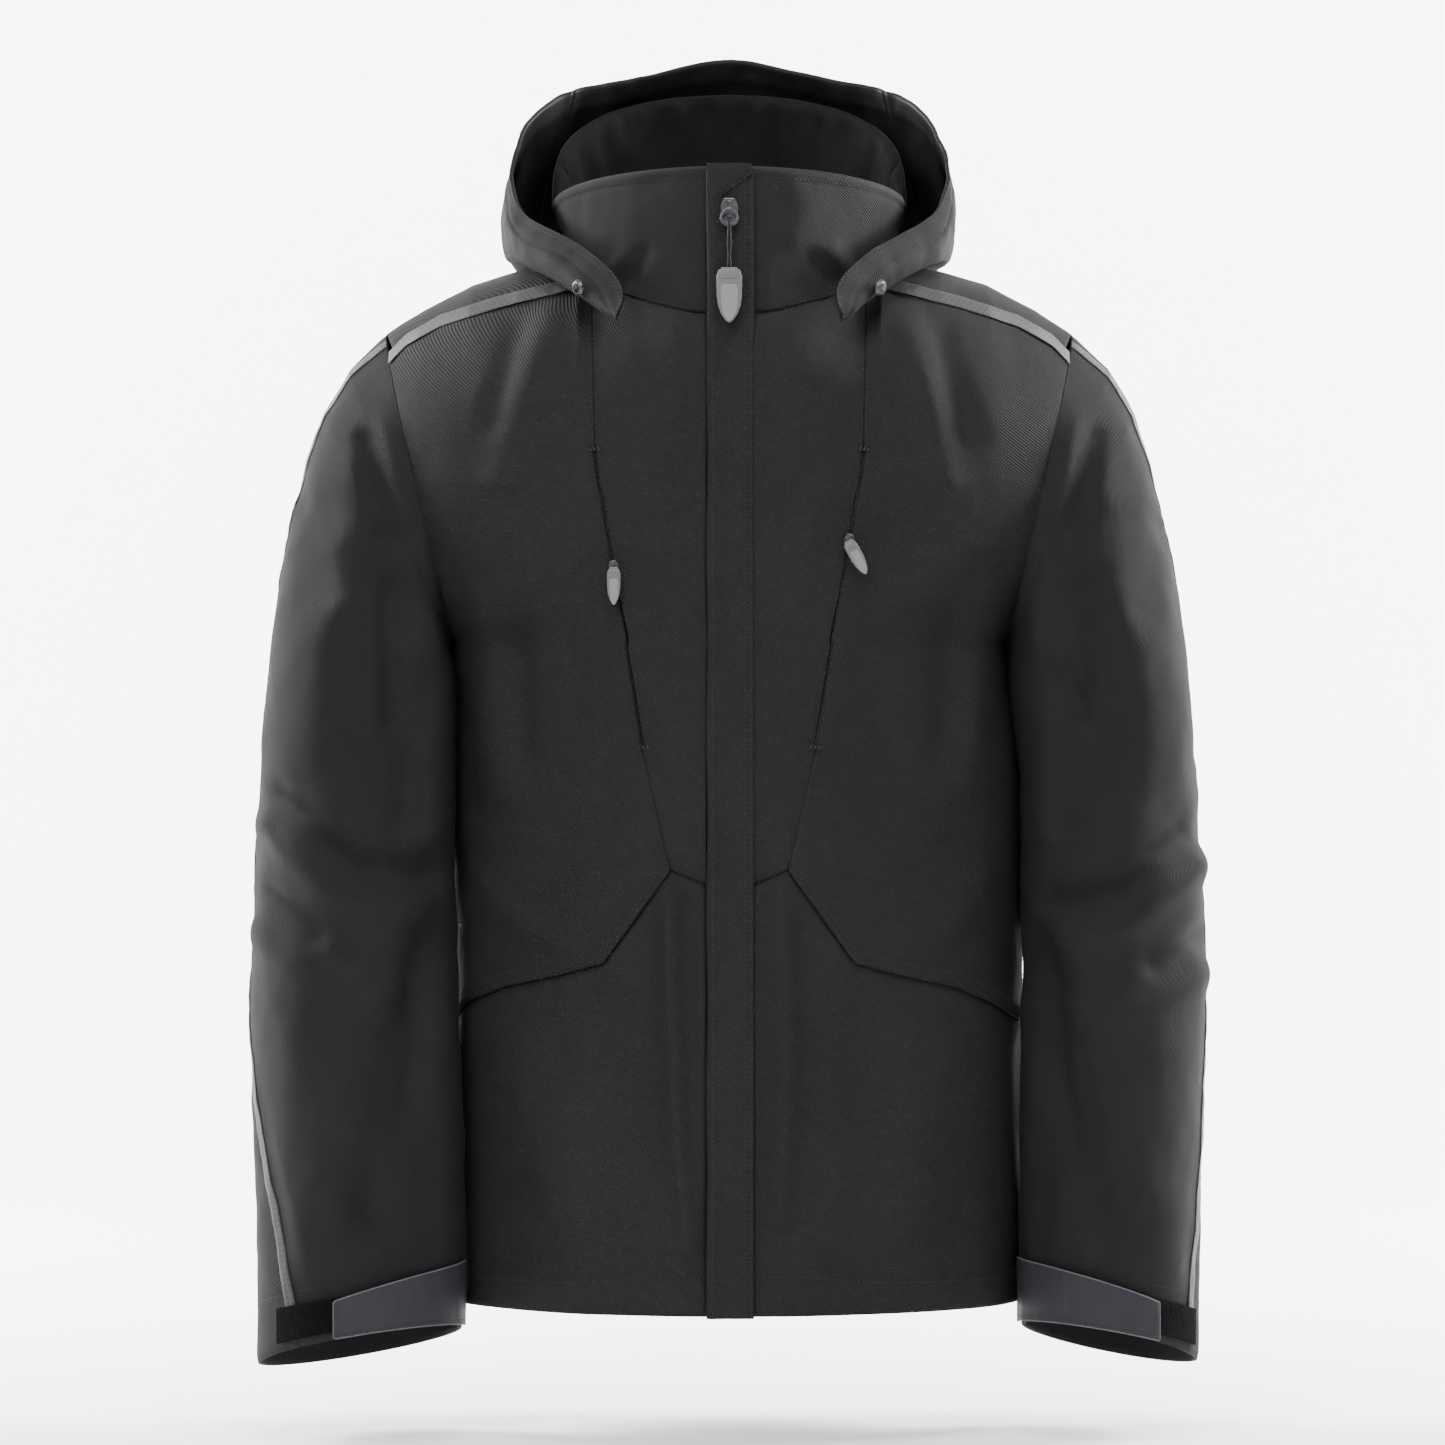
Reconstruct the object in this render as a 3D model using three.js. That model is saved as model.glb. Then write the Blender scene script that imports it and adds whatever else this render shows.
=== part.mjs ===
// A hooded ski jacket, hanging as it does on the wearer, in millimetres.
// +X is the wearer's left, the front faces -Y and +Z is up. The origin is the middle of the neck opening.
import * as THREE from "three";
import { mergeVertices } from "three/addons/utils/BufferGeometryUtils.js";

// Overall sizes
const HEM_Z = -736;
const CHEST_HALF_LEFT = 209;
const CHEST_HALF_RIGHT = 197;
const FRONT_DEPTH = 133;
const BACK_DEPTH = 124;
const SHOULDER_HALF = 247;
const SHOULDER_Z = -43;
const UNDERARM_HALF = 198;
const UNDERARM_Z = -263;
const ARMHOLE_HALF_DEPTH = 78;
const SLEEVE_OUT = 335;
const CUFF_Z = -777;

// Cloth
const SHELL = 3;
const LINING = 4;
const LINING_DEPTH = 10;
const FACING_DEPTH = 4.2;
const TAPE = 0.8;
const GAP = 0.3;

// Front zip
const ZIP_LEAN = 0.004;
const ZIP_PROUD = 2.6;
const STRIP_HALF = 14.5;
const STRIP_THICK = 3.4;
const STRIP_TOP = 62;

// Chest zips: the slot between the panels, and the slider's place in it
const ZIP_SLOT = 1.4;
const CHEST_PROUD = 2.2;
const NECK_REACH = 3.9;

// Neck and collar
const NECK_HALF = 105;
const NECK_DEPTH_BACK = 72;
const COLLAR_HALF = 129;
const COLLAR_FRONT_TOP = 66;
const COLLAR_SIDE_TOP = 50;
const COLLAR_BACK_TOP = 139;
const COLLAR_PLY = 2.6;

const SIDES = [
  {
    name: "left",
    sign: 1,
    chest: CHEST_HALF_LEFT,
    inner: CHEST_HALF_LEFT + 2.5,
    cuffInner: CHEST_HALF_LEFT - 1,
    cuffY: -34,
    cuffDepth: 72,
    tapeEnd: -35,
    tabStart: -64,
  },
  {
    name: "right",
    sign: -1,
    chest: CHEST_HALF_RIGHT,
    inner: CHEST_HALF_RIGHT + 2.5,
    cuffInner: CHEST_HALF_RIGHT - 8,
    cuffY: -58,
    cuffDepth: 70,
    tapeEnd: -58,
    tabStart: -80,
  },
];

const lerp = THREE.MathUtils.lerp;
const clamp = THREE.MathUtils.clamp;
const rad = THREE.MathUtils.degToRad;
const smooth = (low, high, x) => THREE.MathUtils.smoothstep(x, low, high);

const jacket = new THREE.Group();

const cloth = (color, roughness = 0.9) => new THREE.MeshStandardMaterial({ color, roughness, metalness: 0 });
const shellCloth = cloth(0x2f3033);
const liningCloth = cloth(0x17181a, 0.95);
const tapeCloth = cloth(0x505256, 0.6);
const tabCloth = cloth(0x35353d, 0.8);
const hookCloth = cloth(0x101011, 1);
const plastic = cloth(0x7c7e82, 0.5);
const coilPlastic = cloth(0x1c1c1e, 0.5);
const metal = new THREE.MeshStandardMaterial({ color: 0x6d6f73, roughness: 0.35, metalness: 0.9 });

// A value that runs through [x, y] points in straight stretches.
function through(points, x) {
  let k = 1;
  while (k < points.length - 1 && x > points[k][0]) k += 1;
  const [a, b] = [points[k - 1], points[k]];
  return lerp(a[1], b[1], clamp((x - a[0]) / (b[0] - a[0]), 0, 1));
}

// A place along a chain of points, 0 at its start and 1 at its end.
function along(points, t) {
  const steps = points.slice(1).map((p, i) => Math.hypot(...p.map((v, k) => v - points[i][k])));
  let left = clamp(t, 0, 1) * steps.reduce((a, b) => a + b, 0);
  let i = 0;
  while (i < steps.length - 1 && left > steps[i]) {
    left -= steps[i];
    i += 1;
  }
  const share = steps[i] > 0 ? left / steps[i] : 0;
  return points[i].map((v, k) => lerp(v, points[i + 1][k], share));
}

// One mesh of the jacket.
function add(name, geometry, material) {
  const mesh = new THREE.Mesh(geometry, material);
  mesh.name = name;
  jacket.add(mesh);
  return mesh;
}

// Turns every face round when a body faces inwards.
function facingOut(geometry) {
  const g = mergeVertices(geometry.deleteAttribute("uv").deleteAttribute("normal"), 1e-4);
  const p = g.attributes.position;
  const index = g.index.array;
  const corner = (k) => new THREE.Vector3().fromBufferAttribute(p, index[k]);
  let volume = 0;
  for (let k = 0; k < index.length; k += 3) volume += corner(k).dot(corner(k + 1).cross(corner(k + 2)));
  if (volume < 0) for (let k = 0; k < index.length; k += 3) [index[k], index[k + 1]] = [index[k + 1], index[k]];
  g.computeVertexNormals();
  return g;
}

// A closed sheet between two depths under surface(u, v).
function sheet(surface, across, up, top, bottom, inward) {
  const g = new THREE.BoxGeometry(1, 1, 1, across, up, 1);
  const p = g.attributes.position;
  const step = 0.004;
  for (let i = 0; i < p.count; i += 1) {
    const u = clamp(p.getX(i) + 0.5, 0, 1);
    const v = clamp(p.getY(i) + 0.5, 0, 1);
    const here = surface(u, v);
    const du = surface(Math.min(1, u + step), v).sub(surface(Math.max(0, u - step), v));
    const dv = surface(u, Math.min(1, v + step)).sub(surface(u, Math.max(0, v - step)));
    const normal = du.cross(dv).normalize().multiplyScalar(inward);
    const at = here.addScaledVector(normal, lerp(bottom, top, p.getZ(i) + 0.5));
    p.setXYZ(i, at.x, at.y, at.z);
  }
  return facingOut(g);
}

// ---- Body surface -------------------------------------------------------------------------------

// The armhole lies in one plane that leans in from the shoulder tip to the underarm.
const armholeX = (z) => lerp(UNDERARM_HALF, SHOULDER_HALF, (z - UNDERARM_Z) / (SHOULDER_Z - UNDERARM_Z));
const ARMHOLE_MID = (SHOULDER_Z + UNDERARM_Z) / 2;
const ARMHOLE_RISE = (SHOULDER_Z - UNDERARM_Z) / 2;

// The height of the top of the shoulder at a distance from the middle, front and back.
const SLOPE = [[NECK_HALF, 10], [150, 3], [184, -7], [219, -25], [SHOULDER_HALF, SHOULDER_Z], [270, -70]];
const FRONT_RIDGE = [[0, 46], [27, 38], [60, 19.2], [91, 4.6], [103.4, 5.1], ...SLOPE];
const BACK_RIDGE = [[0, 58.4], [27, 56.4], [60, 48.3], [91, 31.7], [103.4, 16.8], ...SLOPE];
const ridge = (x, face) => through(face < 0 ? FRONT_RIDGE : BACK_RIDGE, Math.abs(x));
const FALL = 110;
const depthOf = (face) => (face < 0 ? FRONT_DEPTH : BACK_DEPTH);

// The half width that a level cut of the body would have if the sides ran round.
function halfWidth(z, side, face) {
  if (z >= ARMHOLE_MID) return armholeX(ARMHOLE_MID) / Math.sqrt(1 - (ARMHOLE_HALF_DEPTH / depthOf(face)) ** 2);
  if (z >= UNDERARM_Z) {
    const depth = ARMHOLE_HALF_DEPTH * Math.sqrt(Math.max(0, 1 - ((z - ARMHOLE_MID) / ARMHOLE_RISE) ** 2));
    return armholeX(z) / Math.sqrt(1 - (depth / depthOf(face)) ** 2);
  }
  return lerp(UNDERARM_HALF, side.chest, smooth(0, 120, UNDERARM_Z - z));
}

// A point of the body: angle from the middle towards a side, height, and -1 for the front or 1 for the back.
function body(angle, z, side, face) {
  const x = halfWidth(z, side, face) * Math.sin(angle);
  const drop = clamp((ridge(x, face) - z) / FALL, 0, 1);
  const fall = Math.sqrt(1 - (1 - drop) ** 2);
  return new THREE.Vector3(side.sign * x, face * depthOf(face) * Math.cos(angle) * fall, z);
}

const angleAt = (x, z, side, face) => Math.asin(clamp(x / halfWidth(z, side, face), 0, 1));

// The same chain with each straight stretch cut into short ones.
const dense = (points) => points.flatMap((p, i) => (i === 0 ? [p] : [1, 2, 3, 4, 5, 6].map((k) => {
  const q = points[i - 1];
  return [lerp(q[0], p[0], k / 6), lerp(q[1], p[1], k / 6)];
})));

// A body panel inside four chains of [x, z] points: bottom and top run outwards, inner and outer run up.
function bodyPanel(side, face, bottom, top, inner, outer) {
  const flat = (points) => dense(points).map(([x, z]) => [angleAt(x, z, side, face) * 200, z]);
  const [b, t, i, o] = [bottom, top, inner, outer].map(flat);
  return (u, v) => {
    const [cb, ct, ci, co] = [along(b, u), along(t, u), along(i, v), along(o, v)];
    const at = [0, 1].map((k) => {
      const corners = lerp(lerp(b[0][k], b.at(-1)[k], u), lerp(t[0][k], t.at(-1)[k], u), v);
      return lerp(cb[k], ct[k], v) + lerp(ci[k], co[k], u) - corners;
    });
    return body(clamp(at[0] / 200, 0, Math.PI / 2), at[1], side, face);
  };
}

const steps = (n) => Array.from({ length: n + 1 }, (_, i) => i / n);

// Height of the seam between body and collar, at an angle from the wearer's left (-90 is the front).
const neckZ = (a) => 0.5 + 37.5 * Math.sin(a) + 9.5 * Math.cos(a) ** 2;
function neckline(a, lift = 0) {
  const face = Math.sin(a) < 0 ? -1 : 1;
  const side = Math.cos(a) < 0 ? SIDES[1] : SIDES[0];
  const x = Math.abs(NECK_HALF * Math.cos(a));
  const z = neckZ(a);
  const at = body(angleAt(x, z, side, face), Math.min(z, ridge(x, face)), side, face);
  at.z = z + lift;
  return at;
}
const neckPoint = (degrees) => [NECK_HALF * Math.cos(rad(degrees)), neckZ(rad(degrees)) - GAP];

// Seams of the front, as [distance from the middle, height] chains for either side.
const PANEL_EDGE = STRIP_HALF + 1.5;
const NECK_TURN = -23;
const SEAM_TOP = [NECK_HALF * Math.cos(rad(NECK_TURN)), -8];
const CHEST_ZIP_TOP = [94, -132];
const CHEST_ZIP_END = [60, -338];
const POCKET_TOP = [41, -425];
const MIDDLE_SEAM = [PANEL_EDGE, -435];
const POCKET_EDGE = [POCKET_TOP, [88, -490], [120, -499], [158, -508], [188, -522]];
const POCKET_SIDE_Z = -536;
const FORWARD_SEAM = [SEAM_TOP, [163, -24], [205, -36], [230, -49], [armholeX(-62), -62]];
const princess = [POCKET_TOP, CHEST_ZIP_END, CHEST_ZIP_TOP, SEAM_TOP];
const shift = (points, x, z) => points.map((p) => [p[0] + x, p[1] + z]);
const BACK_SEAM_Z = -130;

function sideEdge(side, from, to) {
  return steps(8).map((t) => {
    const z = lerp(from, to, t);
    return [z < UNDERARM_Z ? side.chest : armholeX(z) - GAP, z];
  });
}

for (const side of SIDES) {
  const edge = [...POCKET_EDGE, [side.chest, POCKET_SIDE_Z]];
  const sideFront = bodyPanel(
    side,
    -1,
    shift(edge, 0, GAP),
    shift(FORWARD_SEAM, ZIP_SLOT, -GAP),
    shift(princess, ZIP_SLOT, GAP),
    sideEdge(side, POCKET_SIDE_Z + GAP, -62 - GAP),
  );
  add(`side_front_${side.name}`, sheet(sideFront, 7, 11, 0, SHELL, -side.sign), shellCloth);

  const centreTop = [[PANEL_EDGE, neckPoint(-82)[1]], neckPoint(-70), neckPoint(-50), neckPoint(-35), SEAM_TOP];
  const centreFront = bodyPanel(
    side,
    -1,
    [[MIDDLE_SEAM[0], MIDDLE_SEAM[1] + GAP], [POCKET_TOP[0] - ZIP_SLOT, POCKET_TOP[1] + GAP]],
    shift(centreTop, 0, -GAP).map((p, i) => (i === centreTop.length - 1 ? [p[0] - ZIP_SLOT, p[1]] : p)),
    [[PANEL_EDGE, MIDDLE_SEAM[1] + GAP], [PANEL_EDGE, centreTop[0][1] - GAP]],
    shift(princess, -ZIP_SLOT, GAP).map((p, i) => (i === princess.length - 1 ? [p[0], p[1] - 2 * GAP] : p)),
  );
  add(`centre_front_${side.name}`, sheet(centreFront, 4, 11, 0, SHELL, -side.sign), shellCloth);

  const lowerFront = bodyPanel(
    side,
    -1,
    [[PANEL_EDGE, HEM_Z], [side.chest, HEM_Z]],
    shift([MIDDLE_SEAM, ...edge], 0, -3 * GAP),
    [[PANEL_EDGE, HEM_Z], [PANEL_EDGE, MIDDLE_SEAM[1] - 3 * GAP]],
    [[side.chest, HEM_Z], [side.chest, POCKET_SIDE_Z - 3 * GAP]],
  );
  add(`lower_front_${side.name}`, sheet(lowerFront, 9, 5, 0, SHELL, -side.sign), shellCloth);
}

// The back, one piece from hem to yoke seam, with u from the wearer's right to the left.
function backSurface(bottomZ, topZ, keep = 0) {
  return (u, v) => {
    const z = lerp(bottomZ, topZ, v);
    const side = u < 0.5 ? SIDES[1] : SIDES[0];
    const edge = z < UNDERARM_Z ? halfWidth(z, side, 1) : armholeX(z);
    const most = Math.max(0, angleAt(edge - keep, z, side, 1) - (z < UNDERARM_Z ? GAP / 60 : 0));
    return body(Math.abs(u - 0.5) * 2 * most, z, side, 1);
  };
}
add("back_panel", sheet(backSurface(HEM_Z, BACK_SEAM_Z - GAP, GAP), 14, 11, 0, SHELL, 1), shellCloth);

// The yoke wraps over both shoulders from the back seam to the seam under the tape.
function fallAngle(x, z, face) {
  const drop = Math.max(0, (ridge(x, face) - z) / FALL);
  return drop < 1 ? Math.acos(1 - drop) : Math.PI / 2 + drop - 1;
}
function overShoulder(x, side, psi) {
  const face = psi < 0 ? -1 : 1;
  const round = Math.min(Math.abs(psi), Math.PI / 2);
  const height = ridge(x, face) - FALL * (1 - Math.cos(round));
  const late = Math.abs(psi) - round;
  const z = height - late * FALL;
  return body(angleAt(x, z, side, face), z, side, face);
}
function yoke(u, v) {
  const side = u < 0.5 ? SIDES[1] : SIDES[0];
  const reach = Math.abs(u - 0.5) * 2;
  const widest = armholeX(lerp(BACK_SEAM_Z, SHOULDER_Z, Math.sin(v * Math.PI * 0.8))) - GAP;
  const x = reach * widest;
  const low = fallAngle(x, BACK_SEAM_Z, 1);
  const neckBack = neckZ(Math.acos(clamp(x / NECK_HALF, 0, 1))) - 2 * GAP;
  const forward = -fallAngle(x, through(FORWARD_SEAM, x) + 2.4, -1);
  const top = x < NECK_HALF ? fallAngle(x, Math.min(neckBack, ridge(x, 1)), 1) : forward;
  return overShoulder(x, side, lerp(low, top, v));
}
add("yoke", sheet(yoke, 20, 6, 0, SHELL, 1), shellCloth);

// ---- Front strip and zip ------------------------------------------------------------------------

// The front edge is one straight line, so that the slider runs true.
const frontY = (z) => -(FRONT_DEPTH + ZIP_PROUD - (z - HEM_Z) * ZIP_LEAN);
const lean = Math.atan(ZIP_LEAN);

// A straight bar along the front line: x from and to, height from and to, depth behind the line.
function frontBar(x0, x1, z0, z1, near, far) {
  const shape = new THREE.Shape();
  shape.moveTo(frontY(z0) + near, z0);
  shape.lineTo(frontY(z0) + far, z0);
  shape.lineTo(frontY(z1) + far, z1);
  shape.lineTo(frontY(z1) + near, z1);
  const g = new THREE.ExtrudeGeometry(shape, { depth: x1 - x0, bevelEnabled: false });
  g.applyMatrix4(new THREE.Matrix4().makeBasis(
    new THREE.Vector3(0, 1, 0), new THREE.Vector3(0, 0, 1), new THREE.Vector3(1, 0, 0)));
  g.translate(x0, 0, 0);
  return facingOut(g);
}

add("front_strip", frontBar(-STRIP_HALF, STRIP_HALF, HEM_Z, STRIP_TOP, 0, STRIP_THICK), shellCloth);
const COIL_HALF = 2.6;
const behind = STRIP_THICK + GAP;
add("zip_coil", frontBar(-COIL_HALF, COIL_HALF, HEM_Z + 14, STRIP_TOP - 14, behind, behind + 2.2), coilPlastic);
for (const side of SIDES) {
  const [a, b] = [COIL_HALF + GAP, STRIP_HALF - GAP];
  const [x0, x1] = side.sign > 0 ? [a, b] : [-b, -a];
  add(`zip_tape_${side.name}`, frontBar(x0, x1, HEM_Z + 4, STRIP_TOP - 6, behind, behind + 1.2), coilPlastic);
}
add("zip_bottom_box", frontBar(-COIL_HALF, COIL_HALF, HEM_Z + 4, HEM_Z + 14 - GAP, behind, behind + 3), metal);
const flapFront = behind + 3.4;
add("wind_flap", frontBar(1 - STRIP_HALF, STRIP_HALF - 1, HEM_Z + 6, STRIP_TOP - 4, flapFront, flapFront + 3), liningCloth);

// Chin guard: the folded cloth cap over the top of the zip.
const guard = new THREE.Shape();
guard.moveTo(-STRIP_HALF, STRIP_TOP - 26);
guard.lineTo(STRIP_HALF - 2, STRIP_TOP - 1);
guard.lineTo(STRIP_HALF, STRIP_TOP + 4);
guard.lineTo(-STRIP_HALF, STRIP_TOP + 4);
const guardSolid = new THREE.ExtrudeGeometry(guard, { depth: 2.4, bevelEnabled: false });
guardSolid.rotateX(Math.PI / 2);
guardSolid.translate(0, frontY(STRIP_TOP) - GAP - 0.4, 0);
add("chin_guard", facingOut(guardSolid), shellCloth);

// A puller: a bullet shape that points down, with its eye at the origin.
function bullet(width, length, thick) {
  const s = new THREE.Shape();
  const w = width / 2;
  s.moveTo(-w * 0.82, 0);
  s.lineTo(w * 0.82, 0);
  s.lineTo(w, -length * 0.15);
  s.lineTo(w * 0.94, -length * 0.6);
  s.quadraticCurveTo(w * 0.7, -length * 0.85, 0, -length);
  s.quadraticCurveTo(-w * 0.7, -length * 0.85, -w * 0.94, -length * 0.6);
  s.lineTo(-w, -length * 0.15);
  const g = new THREE.ExtrudeGeometry(s, { depth: thick, bevelEnabled: false, curveSegments: 5 });
  g.rotateX(Math.PI / 2);
  return g;
}

// A slider seen from the front: a narrow crown over a wider plate.
function sliderPlate(width, length, thick) {
  const s = new THREE.Shape();
  s.moveTo(-width * 0.3, length * 0.5);
  s.lineTo(-width * 0.5, length * 0.15);
  s.lineTo(-width * 0.42, -length * 0.5);
  s.lineTo(width * 0.42, -length * 0.5);
  s.lineTo(width * 0.5, length * 0.15);
  s.lineTo(width * 0.3, length * 0.5);
  const g = new THREE.ExtrudeGeometry(s, { depth: thick, bevelEnabled: false });
  g.rotateX(Math.PI / 2);
  return g;
}

const HOLE_SIDES = 16;

// A chest slider: a plate over the cloth with a thin neck that runs in the slot between the panels.
function neckedSlider(width, length, thick, neck, reach) {
  const s = new THREE.Shape();
  s.moveTo(-width / 2, 0);
  s.lineTo(-neck / 2, 0);
  s.lineTo(-neck / 2, reach);
  s.lineTo(neck / 2, reach);
  s.lineTo(neck / 2, 0);
  s.lineTo(width / 2, 0);
  s.lineTo(width * 0.4, -thick);
  s.lineTo(-width * 0.4, -thick);
  const g = new THREE.ExtrudeGeometry(s, { depth: length, bevelEnabled: false });
  g.translate(0, 0, -length / 2);
  return g;
}

// A flat ring plate with an oval hole, the bail that the cord loop passes through.
function bail(width, length, thick) {
  const s = new THREE.Shape();
  s.moveTo(-width * 0.3, 0);
  s.lineTo(width * 0.3, 0);
  s.lineTo(width * 0.5, -length);
  s.lineTo(-width * 0.5, -length);
  const turns = Array.from({ length: HOLE_SIDES }, (_, i) => (2 * Math.PI * i) / HOLE_SIDES);
  const edge = turns.map((a) => new THREE.Vector2(width * 0.33 * Math.cos(a), length * (0.27 * Math.sin(a) - 0.55)));
  s.holes.push(new THREE.Path(edge));
  const g = new THREE.ExtrudeGeometry(s, { depth: thick, bevelEnabled: false });
  g.rotateX(Math.PI / 2);
  return g;
}

// Puts a flat part that was drawn facing -Y at a place on the cloth, with its lean and its slant.
function place(geometry, at, leanX, slantY) {
  geometry.applyMatrix4(new THREE.Matrix4().makeRotationY(slantY));
  geometry.applyMatrix4(new THREE.Matrix4().makeRotationX(leanX));
  geometry.translate(at.x, at.y, at.z);
  return facingOut(geometry);
}

const SLIDER_Z = 34;
const sliderAt = new THREE.Vector3(0, frontY(SLIDER_Z) - GAP, SLIDER_Z);
add("main_slider", place(sliderPlate(13, 18, 4), sliderAt, -lean, 0), metal);
const BAIL_Y = -5;
const bailAt = new THREE.Vector3(0, frontY(SLIDER_Z) + BAIL_Y, SLIDER_Z + 2);
add("main_bail", place(bail(15, 13, 1.4), bailAt, -lean, 0), metal);
const LOOP_TOP = SLIDER_Z + 2 - 9;
const LOOP_LENGTH = 34;
const loopAt = new THREE.Vector3(0, bailAt.y - 2.2, LOOP_TOP);
const loop = new THREE.BoxGeometry(2.6, 1.6, LOOP_LENGTH);
loop.translate(0, -0.8, -LOOP_LENGTH / 2);
add("main_puller_cord", place(loop, loopAt, -lean, 0), coilPlastic);
const pullerAt = new THREE.Vector3(0, loopAt.y + 1, LOOP_TOP - LOOP_LENGTH - GAP);
add("main_puller", place(bullet(18, 37, 4.5), pullerAt, -lean, 0), plastic);

// ---- Chest zips ---------------------------------------------------------------------------------

const zipSlant = Math.atan2(CHEST_ZIP_TOP[0] - CHEST_ZIP_END[0], CHEST_ZIP_TOP[1] - CHEST_ZIP_END[1]);
for (const side of SIDES) {
  const onZip = (t, aside) => {
    const x = lerp(CHEST_ZIP_END[0], CHEST_ZIP_TOP[0], t) + aside;
    const z = lerp(CHEST_ZIP_END[1], CHEST_ZIP_TOP[1], t);
    return body(angleAt(x, z, side, -1), z, side, -1);
  };
  const tape = (u, v) => onZip(lerp(-0.02, 1.02, v), lerp(-7, 7, u));
  add(`chest_zip_${side.name}`, sheet(tape, 2, 6, SHELL + 0.7, SHELL + 1.5, -side.sign), coilPlastic);

  const bag = (u, v) => {
    const x = lerp(12, lerp(CHEST_ZIP_END[0], CHEST_ZIP_TOP[0], v) + 45, u) + 18;
    const z = lerp(CHEST_ZIP_END[1] - 20, CHEST_ZIP_TOP[1] + 4, v);
    return body(angleAt(x, z, side, -1), z, side, -1);
  };
  add(`chest_pocket_bag_${side.name}`, sheet(bag, 5, 5, SHELL + 2.6, SHELL + 3.8, -side.sign), liningCloth);

  const handBag = (u, v) => {
    const x = lerp(48, 165, u);
    const z = lerp(-700, -505 + 20 * (1 - u), v);
    return body(angleAt(x, z, side, -1), z, side, -1);
  };
  add(`hand_pocket_bag_${side.name}`, sheet(handBag, 5, 5, SHELL + 1.6, SHELL + 2.8, -side.sign), liningCloth);

  const sliderShare = side.sign > 0 ? 0.69 : 0.6;
  const at = onZip(sliderShare, 0);
  at.y -= CHEST_PROUD;
  const slant = side.sign * zipSlant;
  add(`chest_slider_${side.name}`, place(neckedSlider(7, 11, 3, 0.6, NECK_REACH), at, -0.013, slant), metal);
  const hang = side.sign > 0 ? -0.5 : 0;
  const eye = new THREE.Vector3(at.x, at.y - 3 - GAP, at.z - 1);
  add(`chest_puller_${side.name}`, place(bullet(9.5, 25, 3), eye, 0.02, hang), plastic);
}

// ---- Sleeves ------------------------------------------------------------------------------------

// Rails of the sleeve in the XZ plane: the outer one over the shoulder, the inner one from the underarm.
const OUTER_RAIL = [
  [SHOULDER_HALF, SHOULDER_Z],
  [273, -68],
  [291, -99],
  [303, -136],
  [312, -170],
  [321, -220],
  [328, -277],
  [333, -350],
  [338, -430],
  [340, -510],
  [339, -590],
  [SLEEVE_OUT + 1, -670],
  [SLEEVE_OUT, CUFF_Z],
];
const innerRail = (side) => [
  [UNDERARM_HALF + 3, UNDERARM_Z - 1],
  [UNDERARM_HALF + 6, -271],
  ...[-281, -293, -308, -330, -360, -410].map((z) => [halfWidth(z, side, -1) + 4, z]),
  [lerp(side.inner, side.cuffInner, 0.3), -470],
  [lerp(side.inner, side.cuffInner, 0.5), -535],
  [lerp(side.inner, side.cuffInner, 0.8), -600],
  [side.cuffInner, -665],
  [side.cuffInner, CUFF_Z + 26],
];
const station = (rail, t) => {
  const s = clamp(t, 0, 1) * (rail.length - 1);
  const i = Math.min(rail.length - 2, Math.floor(s));
  return [lerp(rail[i][0], rail[i + 1][0], s - i), lerp(rail[i][1], rail[i + 1][1], s - i)];
};

// A point of the sleeve: 0 at the armhole and 1 at the cuff, and the angle from the outer rail (-90 faces front).
function sleeve(side, t, degrees) {
  const angle = rad(degrees);
  const outer = station(OUTER_RAIL, t);
  const inner = station(innerRail(side), t);
  const halves = [(outer[0] - inner[0]) / 2, (outer[1] - inner[1]) / 2];
  const middle = [(outer[0] + inner[0]) / 2, (outer[1] + inner[1]) / 2];
  const depth = lerp(ARMHOLE_HALF_DEPTH, side.cuffDepth, smooth(0.3, 1, t));
  const forward = lerp(0, side.cuffY, smooth(0.05, 0.9, t));
  const tilt = 0.2 * smooth(0.4, 1, t);
  const across = depth * Math.sin(angle);
  const x = middle[0] + halves[0] * Math.cos(angle);
  const z = middle[1] + halves[1] * Math.cos(angle) - tilt * across;
  return new THREE.Vector3(side.sign * x, forward + across, z);
}

// The tape's angle round the sleeve: just in front of the shoulder, behind the upper arm, forward at the cuff.
const tapeAngle = (side, t) => through([
  [0, -22],
  [0.12, -16],
  [0.3, -8],
  [0.45, 6],
  [0.68, 4],
  [0.78, -8],
  [0.9, side.tapeEnd * 0.6],
  [1, side.tapeEnd],
], t);
const ARM_START = 0.023;

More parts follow.
